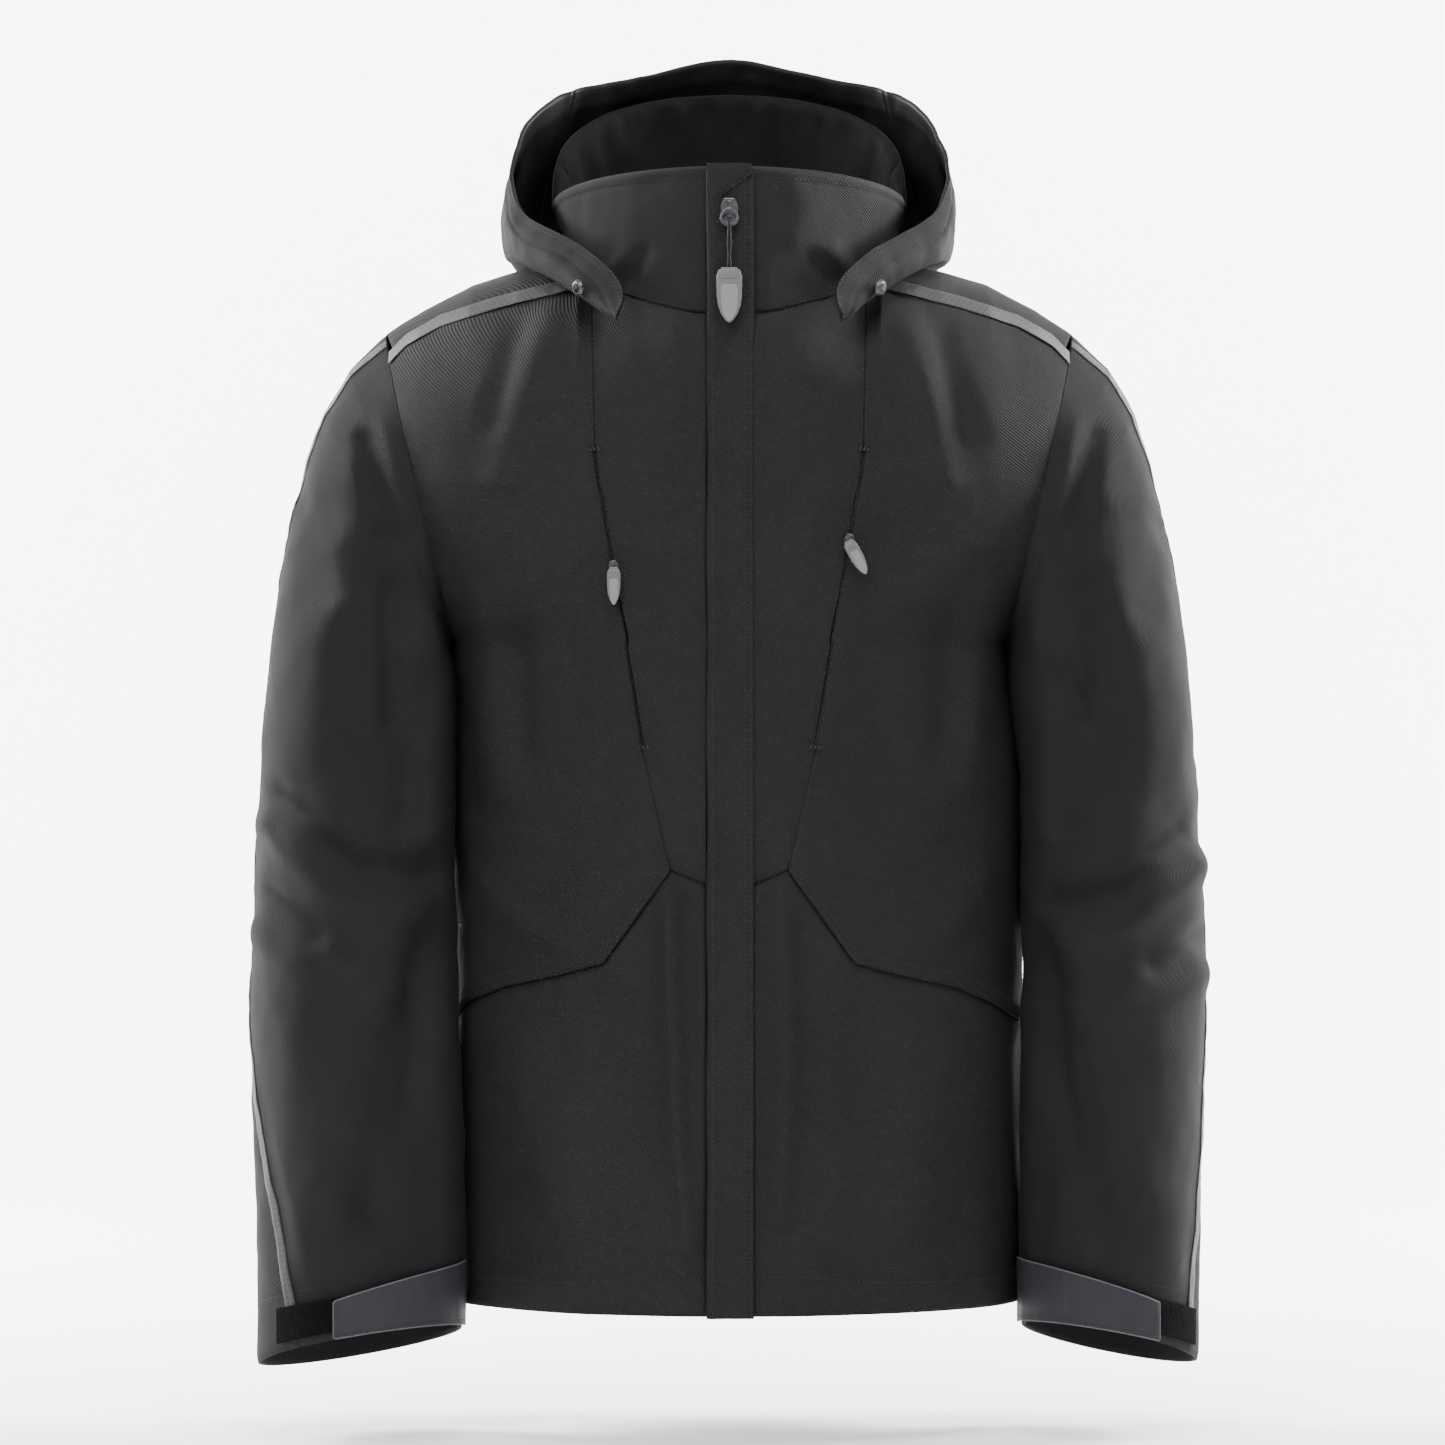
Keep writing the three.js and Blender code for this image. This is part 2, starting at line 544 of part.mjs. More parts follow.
for (const side of SIDES) {
  const part = (from, to) => (u, v) => {
    const t = lerp(ARM_START, 1, v);
    return sleeve(side, t, lerp(from(t), to(t), u));
  };
  const edge = 0.25;
  const front = part((t) => tapeAngle(side, t) - edge, () => -180 + edge);
  const back = part((t) => tapeAngle(side, t) + edge, () => 180 - edge);
  add(`sleeve_front_${side.name}`, sheet(front, 7, 15, 0, SHELL, -side.sign), shellCloth);
  add(`sleeve_back_${side.name}`, sheet(back, 7, 15, 0, SHELL, side.sign), shellCloth);

  const lining = (u, v) => sleeve(side, lerp(0.09, 0.97, v), lerp(-178, 178, u));
  add(`sleeve_lining_${side.name}`, sheet(lining, 12, 9, LINING_DEPTH, LINING_DEPTH + 2, side.sign), liningCloth);

  const sleeveTape = (u, v) => {
    const t = lerp(0.02, 0.99, v);
    return sleeve(side, t, tapeAngle(side, t) + lerp(-3.6, 3.6, u));
  };
  add(`sleeve_tape_${side.name}`, sheet(sleeveTape, 1, 30, -2 * GAP - TAPE, -2 * GAP, side.sign), tapeCloth);

  const yokeTape = (u, v) => {
    const x = lerp(112, armholeX(-62) - 3, v);
    const z = through(FORWARD_SEAM, x) + lerp(-5, 3, u);
    return body(angleAt(x, z, side, -1), z, side, -1);
  };
  add(`shoulder_tape_${side.name}`, sheet(yokeTape, 2, 10, -GAP - TAPE, -GAP, side.sign), tapeCloth);

  // Cuff: a fuzzy patch on the sleeve, a tab over it, and hooks under the free end of the tab.
  const patch = (u, v) => sleeve(side, lerp(0.975, 0.995, v), lerp(side.tabStart + 37, side.tabStart - 4, u));
  const patchClear = 2 * GAP + TAPE + 2 * GAP;
  add(`cuff_patch_${side.name}`, sheet(patch, 6, 2, -patchClear - 1, -patchClear, -side.sign), hookCloth);
  const tab = (u, v) => sleeve(side, lerp(lerp(0.973, 0.953, u), 0.997, v), lerp(side.tabStart, -171, u));
  add(`cuff_tab_${side.name}`, sheet(tab, 12, 2, -5.9, -4.5, -side.sign), tabCloth);
  const hooks = (u, v) => sleeve(side, lerp(0.978, 0.993, v), lerp(side.tabStart - 2, side.tabStart - 24, u));
  add(`cuff_hooks_${side.name}`, sheet(hooks, 4, 2, -4.0, -3.4, -side.sign), hookCloth);
}

// ---- Collar -------------------------------------------------------------------------------------

const collarTopZ = (a) => (Math.sin(a) < 0
  ? lerp(COLLAR_SIDE_TOP, COLLAR_FRONT_TOP, -Math.sin(a))
  : lerp(COLLAR_SIDE_TOP, COLLAR_BACK_TOP, Math.sin(a) ** 0.6));
function collar(a, v) {
  const low = neckline(a, 3 * GAP);
  const y = Math.sin(a) < 0 ? -frontY(COLLAR_FRONT_TOP) - 1.5 : 95;
  const high = new THREE.Vector3(COLLAR_HALF * Math.cos(a), y * Math.sin(a), collarTopZ(a));
  const belly = Math.sin(v * Math.PI) * 3;
  return low.lerp(high, v).add(new THREE.Vector3(belly * Math.cos(a), Math.max(0, belly * Math.sin(a)), 0));
}
const collarEnd = (v) => THREE.MathUtils.radToDeg(Math.asin((STRIP_HALF + 1) / lerp(NECK_HALF, COLLAR_HALF, v)));
const collarAngle = (u, v) => rad(lerp(-90 + collarEnd(v), 270 - collarEnd(v), u));
const collarSurface = (u, v) => collar(collarAngle(u, v), v);
add("collar_outer", sheet(collarSurface, 28, 3, 0, SHELL, -1), shellCloth);
const facing = (u, v) => collar(collarAngle(lerp(0.02, 0.98, u), v), lerp(0.04, 0.985, v));
add("collar_facing", sheet(facing, 28, 3, SHELL + COLLAR_PLY, SHELL + COLLAR_PLY + 3, -1), shellCloth);

// Hanger loop inside the back neck.
const HANGER_Y = NECK_DEPTH_BACK - 13;
const hangerPath = [
  [-34, HANGER_Y, 50],
  [-30, HANGER_Y - 5, 46],
  [-16, HANGER_Y - 8, 40],
  [0, HANGER_Y - 9, 38],
  [16, HANGER_Y - 8, 40],
  [30, HANGER_Y - 5, 46],
  [34, HANGER_Y, 50],
];
const ribbon = [[-3, 0], [3, 0], [3, 1.6], [-3, 1.6]].map(([x, y]) => new THREE.Vector2(x, y));
const hanger = new THREE.ExtrudeGeometry(
  new THREE.Shape(ribbon),
  {
    extrudePath: new THREE.CatmullRomCurve3(hangerPath.map(([x, y, z]) => new THREE.Vector3(x, y, z))),
    steps: 12,
  },
);
add("hanger_loop", facingOut(hanger), coilPlastic);

// ---- Hood ---------------------------------------------------------------------------------------

// Rails round the hood from the middle of the back (0) to the tip of the tab (1): neck, fold, wall and rim.
const HOOD_NECK = [
  [0, 108, 34],
  [60, 96, 32],
  [112, 56, 26],
  [133, 0, 21],
  [127, -50, 13],
  [102, -95, -4],
  [74, -127, -30],
];
const HOOD_FOLD = [
  [0, 142, -50],
  [72, 136, -42],
  [132, 90, -8],
  [158, 20, 11],
  [148, -38, 5],
  [114, -96, -16],
  [76, -134, -44],
];
const HOOD_WALL = [
  [0, 188, 40],
  [92, 168, 44],
  [150, 100, 48],
  [164, 26, 46],
  [158, -38, 28],
  [119, -99, -3],
  [79, -139, -40],
];
const HOOD_RIM = [
  [0, 132, 171],
  [62, 124, 158],
  [126, 84, 138],
  [154, 22, 98],
  [151, -30, 48],
  [98, -103, 8],
  [64, -140, -24],
];
const curve = (points) => new THREE.CatmullRomCurve3(points.map((p) => new THREE.Vector3(...p)));
const hoodRails = [HOOD_NECK, HOOD_FOLD, HOOD_WALL, HOOD_RIM].map(curve);
function hood(u, v) {
  const reach = Math.abs(u - 0.5) * 2;
  const points = hoodRails.map((rail) => rail.getPoint(reach));
  const at = new THREE.CatmullRomCurve3(points).getPoint(v);
  if (u < 0.5) at.x = -at.x;
  return at;
}
const hoodPart = (from, to) => (u, v) => hood(lerp(from, to, u), v);
add("hood_side_left", sheet(hoodPart(0.652, 1), 10, 6, 0, SHELL, 1), shellCloth);
add("hood_centre", sheet(hoodPart(0.35, 0.65), 8, 6, 0, SHELL, 1), shellCloth);
add("hood_side_right", sheet(hoodPart(0, 0.348), 10, 6, 0, SHELL, 1), shellCloth);

// Snap caps on the tabs.
for (const side of SIDES) {
  const profile = [[0, 0], [6, 0], [6, 0.8], [4.5, 2], [0, 2.4]].map(([x, y]) => new THREE.Vector2(x, y));
  const cap = new THREE.LatheGeometry(profile, 14);
  const u = side.sign > 0 ? 0.955 : 0.045;
  const at = hood(u, 0.6);
  const out = hood(u, 0.62).sub(at).cross(hood(u + 0.01, 0.6).sub(at)).normalize();
  cap.applyQuaternion(new THREE.Quaternion().setFromUnitVectors(new THREE.Vector3(0, 1, 0), out));
  cap.translate(...at.addScaledVector(out, 0.9));
  add(`hood_snap_${side.name}`, facingOut(cap), metal);
}

// ---- Lining -------------------------------------------------------------------------------------

for (const side of SIDES) {
  const most = (z) => (z < UNDERARM_Z ? Math.PI / 2 - 0.004 : angleAt(armholeX(z) - 6, z, side, -1));
  const inside = (u, v) => {
    const z = lerp(HEM_Z + 34, -78, v);
    return body(lerp(angleAt(26, z, side, -1), most(z), u), z, side, -1);
  };
  add(`front_lining_${side.name}`, sheet(inside, 8, 7, LINING_DEPTH, LINING_DEPTH + LINING, -side.sign), liningCloth);
}
add("back_lining", sheet(backSurface(HEM_Z + 34, BACK_SEAM_Z + 60, 6), 12, 12, LINING_DEPTH, LINING_DEPTH + LINING, 1), liningCloth);
const facingBand = (side) => (u, v) => body(lerp(angleAt(26, HEM_Z, side, -1), Math.PI / 2 - 0.004, u), lerp(HEM_Z + 2, HEM_Z + 32, v), side, -1);
for (const side of SIDES) {
  add(`hem_facing_${side.name}`, sheet(facingBand(side), 10, 1, FACING_DEPTH, FACING_DEPTH + 1.5, -side.sign), shellCloth);
}
add("hem_facing_back", sheet(backSurface(HEM_Z + 2, HEM_Z + 32, 0.4), 16, 1, FACING_DEPTH, FACING_DEPTH + 1.5, 1), shellCloth);

export default jacket;
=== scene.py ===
import bmesh
import bpy
import numpy as np
from functools import lru_cache
from math import acos, asin, atan2, cos, degrees, hypot, pi, radians, sin, sqrt
from mathutils import Matrix, Vector, noise


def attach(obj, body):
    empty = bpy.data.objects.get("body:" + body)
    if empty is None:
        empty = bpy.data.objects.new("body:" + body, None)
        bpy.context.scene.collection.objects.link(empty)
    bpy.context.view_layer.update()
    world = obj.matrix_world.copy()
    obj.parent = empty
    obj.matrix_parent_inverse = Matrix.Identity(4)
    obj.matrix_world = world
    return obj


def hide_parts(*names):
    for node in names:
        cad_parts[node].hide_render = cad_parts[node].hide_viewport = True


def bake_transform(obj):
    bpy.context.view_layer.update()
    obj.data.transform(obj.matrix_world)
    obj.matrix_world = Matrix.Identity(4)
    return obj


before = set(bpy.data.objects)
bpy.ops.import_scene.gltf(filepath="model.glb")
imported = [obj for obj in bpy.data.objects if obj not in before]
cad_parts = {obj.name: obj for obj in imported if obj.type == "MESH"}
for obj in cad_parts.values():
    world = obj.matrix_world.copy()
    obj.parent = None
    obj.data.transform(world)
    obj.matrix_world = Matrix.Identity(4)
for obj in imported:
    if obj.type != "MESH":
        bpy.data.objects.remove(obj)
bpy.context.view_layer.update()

# ---- Front shell panels --------------------------------------------------------------------------
# Black polyester twill over thin padding, cut as side, centre and lower panels on each side of the zip.
# They join in felled seams with one row of topstitching; the lower panel passes under the pocket edge.
HEM, SHOULDER, UNDERARM = -736, -43, -263
FRONT_DEPTH, BACK_DEPTH, ARMHOLE_DEPTH = 133, 124, 78
HEM_TURN = 27.0
SHOULDER_HALF, UNDERARM_HALF, NECK_HALF = 247, 198, 105
SIDES = (("left", 1, 209), ("right", -1, 197))


def lerp(a, b, t):
    return a + (b - a) * t


def clamp(x, low=0.0, high=1.0):
    return min(high, max(low, x))


def smooth(low, high, x):
    t = np.clip((x - low) / (high - low), 0, 1)
    return t * t * (3 - 2 * t)


def through(points, x):
    return float(np.interp(x, [p[0] for p in points], [p[1] for p in points]))


@lru_cache(maxsize=None)
def along(points, t):
    steps = [hypot(b[0] - a[0], b[1] - a[1]) for a, b in zip(points, points[1:])]
    left = clamp(t) * sum(steps)
    for i, step in enumerate(steps):
        if left <= step or i == len(steps) - 1:
            share = clamp(left / step) if step else 0
            return tuple(lerp(a, b, share) for a, b in zip(points[i], points[i + 1]))
        left -= step


ARM_MID, ARM_RISE = (SHOULDER + UNDERARM) / 2, (SHOULDER - UNDERARM) / 2
SLOPE = [(105, 10), (150, 3), (184, -7), (219, -25), (247, -43), (270, -70)]
FRONT_RIDGE = [(0, 46), (27, 38), (60, 19.2), (91, 4.6), (103.4, 5.1)] + SLOPE
BACK_RIDGE = [(0, 58.4), (27, 56.4), (60, 48.3), (91, 31.7), (103.4, 16.8)] + SLOPE
FALL = 110


def armhole_x(z):
    return lerp(UNDERARM_HALF, SHOULDER_HALF, (z - UNDERARM) / (SHOULDER - UNDERARM))


def ridge(x, face):
    return through(FRONT_RIDGE if face < 0 else BACK_RIDGE, abs(x))


def depth_of(face):
    return FRONT_DEPTH if face < 0 else BACK_DEPTH


@lru_cache(maxsize=None)
def half_width(z, chest, face):
    if z >= ARM_MID:
        return armhole_x(ARM_MID) / sqrt(1 - (ARMHOLE_DEPTH / depth_of(face)) ** 2)
    if z >= UNDERARM:
        depth = ARMHOLE_DEPTH * sqrt(max(0, 1 - ((z - ARM_MID) / ARM_RISE) ** 2))
        return armhole_x(z) / sqrt(1 - (depth / depth_of(face)) ** 2)
    return lerp(UNDERARM_HALF, chest, float(smooth(0, 120, UNDERARM - z)))


def torso(angle, z, sign, chest, face):
    x = half_width(z, chest, face) * sin(angle)
    drop = clamp((ridge(x, face) - z) / FALL)
    return (sign * x, face * depth_of(face) * cos(angle) * sqrt(1 - (1 - drop) ** 2), z)


def angle_at(x, z, chest, face):
    return asin(clamp(x / half_width(z, chest, face)))


def dense(points):
    out = [points[0]]
    for a, b in zip(points, points[1:]):
        out += [(lerp(a[0], b[0], k / 6), lerp(a[1], b[1], k / 6)) for k in range(1, 7)]
    return out


def torso_panel(sign, chest, face, bottom, top, inner, outer):
    edges = (bottom, top, inner, outer)
    b, t, i, o = (tuple((angle_at(x, z, chest, face) * 200, z) for x, z in dense(c)) for c in edges)

    def surface(u, v):
        cb, ct, ci, co = along(b, u), along(t, u), along(i, v), along(o, v)
        at = []
        for k in (0, 1):
            corners = lerp(lerp(b[0][k], b[-1][k], u), lerp(t[0][k], t[-1][k], u), v)
            at.append(lerp(cb[k], ct[k], v) + lerp(ci[k], co[k], u) - corners)
        return torso(clamp(at[0] / 200, 0, pi / 2), at[1], sign, chest, face)

    return surface


def rumple(p, size, seed):
    sx, sy, sz = size
    q = [Vector((x / sx + seed, y / sy, z / sz)) for x, y, z in p.reshape(-1, 3)]
    return np.array([noise.noise(k) for k in q]).reshape(p.shape[:-1])


def fold(p, points, width, height):
    x, z = p[..., 0], p[..., 2]
    nearest = np.full(x.shape, 1e9)
    for (x0, z0), (x1, z1) in zip(points, points[1:]):
        span = (x1 - x0) ** 2 + (z1 - z0) ** 2
        t = np.clip(((x - x0) * (x1 - x0) + (z - z0) * (z1 - z0)) / span, 0, 1)
        nearest = np.minimum(nearest, np.hypot(x - x0 - t * (x1 - x0), z - z0 - t * (z1 - z0)))
    return height * np.exp(-((nearest / width) ** 2))


def arc(p, axis):
    steps = np.linalg.norm(np.diff(p, axis=axis), axis=-1)
    start = np.zeros_like(np.take(steps, [0], axis))
    return np.concatenate([start, np.cumsum(steps, axis=axis)], axis=axis)


def finish_mesh(name, mesh, material, body, nodes=(), smooth_faces=True):
    data = bpy.data.meshes.new(name)
    mesh.to_mesh(data)
    mesh.free()
    data.materials.append(material)
    if smooth_faces:
        data.polygons.foreach_set("use_smooth", [True] * len(data.polygons))
    obj = bpy.data.objects.new(name, data)
    bpy.context.scene.collection.objects.link(obj)
    if isinstance(body, tuple):
        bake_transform(obj)
    else:
        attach(obj, body)
    if nodes:
        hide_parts(*nodes)
    return obj


def stitch_row(mesh, line, normals, pitch=3.4, width=0.62):
    steps = np.concatenate([[0], np.cumsum(np.linalg.norm(np.diff(line, axis=0), axis=1))])
    for s in np.arange(pitch / 2, steps[-1] - pitch / 2, pitch):
        a = Vector([np.interp(s - pitch * 0.38, steps, line[:, k]) for k in range(3)])
        b = Vector([np.interp(s + pitch * 0.38, steps, line[:, k]) for k in range(3)])
        n = Vector([np.interp(s, steps, normals[:, k]) for k in range(3)]).normalized()
        run = (b - a).normalized()
        turn = Matrix((run, n.cross(run), n)).transposed().to_4x4()
        size = Matrix.Diagonal((((b - a).length / 2) * 0.001, width * 0.0005, width * 0.0004, 1))
        place = Matrix.Translation(((a + b) / 2 + n * 0.12) * 0.001)
        bmesh.ops.create_icosphere(mesh, subdivisions=1, radius=1, matrix=place @ turn @ size)


def cloth_piece(name, surface, spacing, inward, material, body, nodes, relief, uv, thick=2.4,
                stitched=(), held="hung", lining=None):
    rough = np.array([[surface(u / 8, v / 8) for u in range(9)] for v in range(9)])
    across = max(2, int(arc(rough, 1)[:, -1].max() / spacing))
    up = max(2, int(arc(rough, 0)[-1].max() / spacing))
    p = np.array([[surface(i / across, j / up) for i in range(across + 1)] for j in range(up + 1)])
    out = -inward * np.cross(np.gradient(p, axis=1), np.gradient(p, axis=0))
    out /= np.maximum(np.linalg.norm(out, axis=-1, keepdims=True), 1e-9)
    wide, high = arc(p, 1), arc(p, 0)
    edge = {"left": wide, "right": wide[:, -1:] - wide, "down": high, "up": high[-1:] - high}
    p = p + out * relief(p, edge)[..., None]
    out = -inward * np.cross(np.gradient(p, axis=1), np.gradient(p, axis=0))
    out /= np.maximum(np.linalg.norm(out, axis=-1, keepdims=True), 1e-9)

    mesh = bmesh.new()
    bmesh.ops.create_grid(mesh, x_segments=across, y_segments=up, size=0.5)
    layer = mesh.loops.layers.uv.new("UVMap")
    at = {}
    for vert in mesh.verts:
        at[vert] = (round((vert.co.y + 0.5) * up), round((vert.co.x + 0.5) * across))
    flat = uv(p, wide, high)
    for face in mesh.faces:
        for loop in face.loops:
            loop[layer].uv = flat[at[loop.vert]]
    for vert, place in at.items():
        vert.co = p[place] * 0.001
    if inward > 0:
        bmesh.ops.reverse_faces(mesh, faces=mesh.faces[:])
    cells = mesh.faces[:]
    area = sum(f.calc_area() for f in cells)
    data = finish_mesh(name, mesh, material, body, nodes)
    solid = data.modifiers.new("thickness", "SOLIDIFY")
    solid.thickness = thick * 0.001
    solid.offset = -1
    if lining:
        data.data.materials.append(lining)
        solid.material_offset = 1
    if held == "padded":
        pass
    elif held:
        size = (float(wide[:, -1].max()) * 0.001 + 0.002, float(high[-1].max()) * 0.001 + 0.002)
        area = min(area, size[0] * size[1])
        cut = area if area > 0.31 * size[0] * size[1] else None
    if stitched:
        thread = bmesh.new()
        for side, inset in stitched:
            axis = 1 if side in ("left", "right") else 0
            ends = (0, 1) if side in ("left", "down") else (-1, -2)
            a, b = (np.take(p, e, axis=axis) for e in ends)
            share = inset / np.maximum(np.linalg.norm(b - a, axis=-1, keepdims=True), 1e-6)
            if share.max() > 1:
                rows = max(1, int(inset / spacing))
                near, far = (rows, rows + 1) if ends[0] == 0 else (-1 - rows, -2 - rows)
                a, b = np.take(p, near, axis=axis), np.take(p, far, axis=axis)
                share = (inset - rows * spacing) / spacing
            stitch_row(thread, a + (b - a) * share, np.take(out, ends[0], axis=axis))
        finish_mesh(f"{name}_stitching", thread, sewing_thread, body)
    POINTS[name] = (p, out)
    return data


POINTS = {}


class Wire:
    def __init__(self, socket):
        self.socket = socket

    def math(self, kind, *others):
        made = self.socket.node.id_data.nodes.new("ShaderNodeMath")
        made.operation = kind
        for value, slot in zip((self,) + others, made.inputs):
            join(value, slot)
        return Wire(made.outputs[0])

    def __add__(self, other):
        return self.math("ADD", other)

    def __sub__(self, other):
        return self.math("SUBTRACT", other)

    def __mul__(self, other):
        return self.math("MULTIPLY", other)

    def __truediv__(self, other):
        return self.math("DIVIDE", other)

    def __abs__(self):
        return self.math("ABSOLUTE")

    def part(self):
        return self.math("FRACT")

    def below(self, other):
        return self.math("LESS_THAN", other)

    def wave(self):
        return abs(self.part() - 0.5) * 2


def join(value, slot):
    if isinstance(value, Wire):
        slot.node.id_data.links.new(value.socket, slot)
    else:
        slot.default_value = value


class Finish:
    def __init__(self, name, roughness, **constants):
        self.material = bpy.data.materials.new(name)
        self.material.use_nodes = True
        self.tree = self.material.node_tree
        self.shader = self.tree.nodes["Principled BSDF"]
        self.shader.inputs["Roughness"].default_value = roughness
        for key, value in constants.items():
            self.shader.inputs[key.replace("_", " ")].default_value = value

    def node(self, kind, output=0, setting=None, **inputs):
        made = self.tree.nodes.new("ShaderNode" + kind)
        for key, value in (setting or {}).items():
            setattr(made, key, value)
        for key, value in inputs.items():
            join(value, made.inputs[key.replace("_", " ")])
        return Wire(made.outputs[output])

    def place(self, kind="UV"):
        return self.node("TexCoord", kind)

    def axes(self, place):
        made = self.tree.nodes.new("ShaderNodeSeparateXYZ")
        join(place, made.inputs[0])
        return [Wire(k) for k in made.outputs]

    def noise(self, place, scale, detail=3.0):
        return self.node("TexNoise", "Fac", Vector=place, Scale=scale, Detail=detail)

    def blend(self, share, dark, light):
        made = self.tree.nodes.new("ShaderNodeMix")
        made.data_type = "RGBA"
        join(share, made.inputs["Factor"])
        for value, slot in ((dark, made.inputs[6]), (light, made.inputs[7])):
            join(value if isinstance(value, Wire) else (*value, 1), slot)
        return Wire(made.outputs[2])

    def bump(self, height, strength, distance):
        made = self.node("Bump", Height=height, Strength=strength, Distance=distance)
        join(made, self.shader.inputs["Normal"])

    def colour(self, wire):
        join(wire, self.shader.inputs["Base Color"])

    def rough(self, wire):
        join(wire, self.shader.inputs["Roughness"])


def woven(name, dark, light, pitch, roughness, strength, sheen=0.0, place="UV", gloss=0.2):
    made = Finish(name, roughness, Specular_IOR_Level=gloss, Sheen_Weight=sheen, Sheen_Roughness=0.45)
    at = made.place(place)
    x, y, z = made.axes(at)
    if place != "UV":
        y = z
    rib = ((x + y) / pitch).wave()
    yarn = ((x - y * 0.35) / (pitch * 0.8)).wave()
    soft = made.noise(at, 55.0)
    wide = made.noise(at, 9.0, 2.0)
    fine = made.noise(at, 900.0, 1.0)
    weave = rib * 0.7 + yarn * 0.18 + fine * 0.25
    made.colour(made.blend(weave * 0.55 + soft * 0.25 + wide * 0.25, dark, light))
    made.rough(soft * 0.12 + weave * 0.1 + (roughness - 0.12))
    made.bump(weave + soft * 0.9, strength, pitch * 0.45)
    return made.material


shell_twill = woven("shell_twill", (0.0020, 0.0021, 0.0023), (0.0138, 0.0141, 0.0148), 0.0023, 0.78, 0.6,
                    gloss=0.11)
sewing_thread = woven("sewing_thread", (0.0045, 0.0045, 0.005), (0.017, 0.017, 0.0185), 0.0008, 0.6, 0.2,
                      0.0, "Object")

POCKET_TOP = (41, -425)
CHEST_ZIP_TOP, CHEST_ZIP_END = (94, -132), (60, -338)
STRIP_HALF = 14.5
POCKET_EDGE = [POCKET_TOP, (88, -490), (120, -499), (158, -508), (188, -522)]
SEAM_TOP = (NECK_HALF * cos(radians(-23)), -8)
FORWARD_SEAM = [SEAM_TOP, (163, -24), (205, -36), (230, -49), (armhole_x(-62), -62)]


def princess(slot):
    (x0, z0), (x1, z1) = CHEST_ZIP_END, CHEST_ZIP_TOP
    return [POCKET_TOP, (x0, z0 - 4), (x0 + slot, z0), (x1 + slot, z1), (x1, z1 + 4), SEAM_TOP]



def moved(points, x, z):
    return [(a + x, b + z) for a, b in points]


def side_edge(chest, low, high):
    edge = [lerp(low, high, k / 8) for k in range(9)]
    return [(chest if z < UNDERARM else armhole_x(z), z) for z in edge]


def neck_z(a):
    return 0.5 + 37.5 * sin(a) + 9.5 * cos(a) ** 2


def neck_point(angle):
    return (NECK_HALF * cos(radians(angle)), neck_z(radians(angle)))


def torso_uv(p, wide, high):
    turn = np.arctan2(p[..., 0], np.abs(p[..., 1]) + 20)
    return np.stack([turn * 0.17, p[..., 2] * 0.001], axis=-1)


FRONT_FOLDS = [
    ([(-43, -440), (-40, -520), (-36, -600), (-26, -690)], 8, 4.2),
    ([(-29, -445), (-25, -540), (-23, -650)], 6, -3.0),
    ([(-60, -470), (-62, -560), (-58, -640)], 13, -2.0), ([(-24, -640), (-22, -700)], 6, 2.2),
    ([(35, -440), (40, -520), (39, -600), (31, -670)], 9, 4.0),
    ([(24, -445), (24, -540), (25, -660)], 6, -2.6),
    ([(56, -470), (60, -560), (54, -640)], 13, -1.8),
    ([(-128, -40), (-142, -90), (-160, -150)], 13, 2.6), ([(-150, -45), (-168, -110)], 10, -2.0),
    ([(125, -45), (140, -95), (152, -150)], 13, 2.4), ([(150, -50), (166, -120)], 10, -2.0),
    ([(-176, -240), (-168, -300), (-158, -370)], 14, 3.4), ([(-150, -260), (-146, -340)], 12, -2.2),
    ([(-190, -300), (-182, -380)], 9, -2.4), ([(182, -235), (172, -300), (166, -360)], 14, 3.2),
    ([(156, -250), (152, -340)], 12, -2.2), ([(-170, -440), (-140, -470), (-118, -476)], 13, 2.0),
    ([(175, -430), (150, -470), (126, -478)], 13, 2.0),
    ([(-150, -560), (-120, -640), (-110, -700)], 26, 2.4),
    ([(150, -560), (124, -640), (116, -700)], 26, 2.4), ([(-86, -520), (-92, -620), (-88, -700)], 20, -1.8),
    ([(88, -520), (92, -620), (90, -700)], 20, -1.8), ([(-60, -180), (-54, -260), (-48, -320)], 15, 1.2),
    ([(62, -180), (54, -260), (48, -320)], 15, 1.2), ([(-40, -60), (-44, -130)], 11, 1.2),
    ([(42, -60), (44, -140)], 11, 1.2),
]


ZIP_LIP = -1.7


def torso_relief(rolls=(), calm=()):
    def relief(p, edge):
        d = 3.4 * rumple(p, (80, 120, 230), 3.1) + 1.5 * rumple(p, (34, 60, 95), 7.7)
        d += 0.35 * rumple(p, (13, 26, 24), 1.3)
        if p[..., 1].mean() < 0:
            for points, width, height in FRONT_FOLDS:
                d += 1.5 * fold(p, points, width, height)
        else:
            d += 2.4 * rumple(p, (60, 200, 300), 9.2)
        for side in calm:
            d *= smooth(0, 22, edge[side])
        # The side seams fill out where the arms press on them, below the underarm.
        d += 2.2 * smooth(150, 195, np.abs(p[..., 0])) * smooth(-240, -290, p[..., 2])
        for side, depth, reach, *inset in rolls:
            away = edge[side] - sum(inset)
            pucker = 0.25 * rumple(p, (9, 20, 9), 5.5) * np.exp(-((away / 14) ** 2))
            here = depth * np.exp(-((away / reach) ** 2))
            if side == "left" and depth == ZIP_LIP:
                z = p[..., 2]
                here *= 0.3 + 0.7 * smooth(-122, -136, z) * smooth(-350, -336, z)
            d += here + pucker
        return d
    return relief


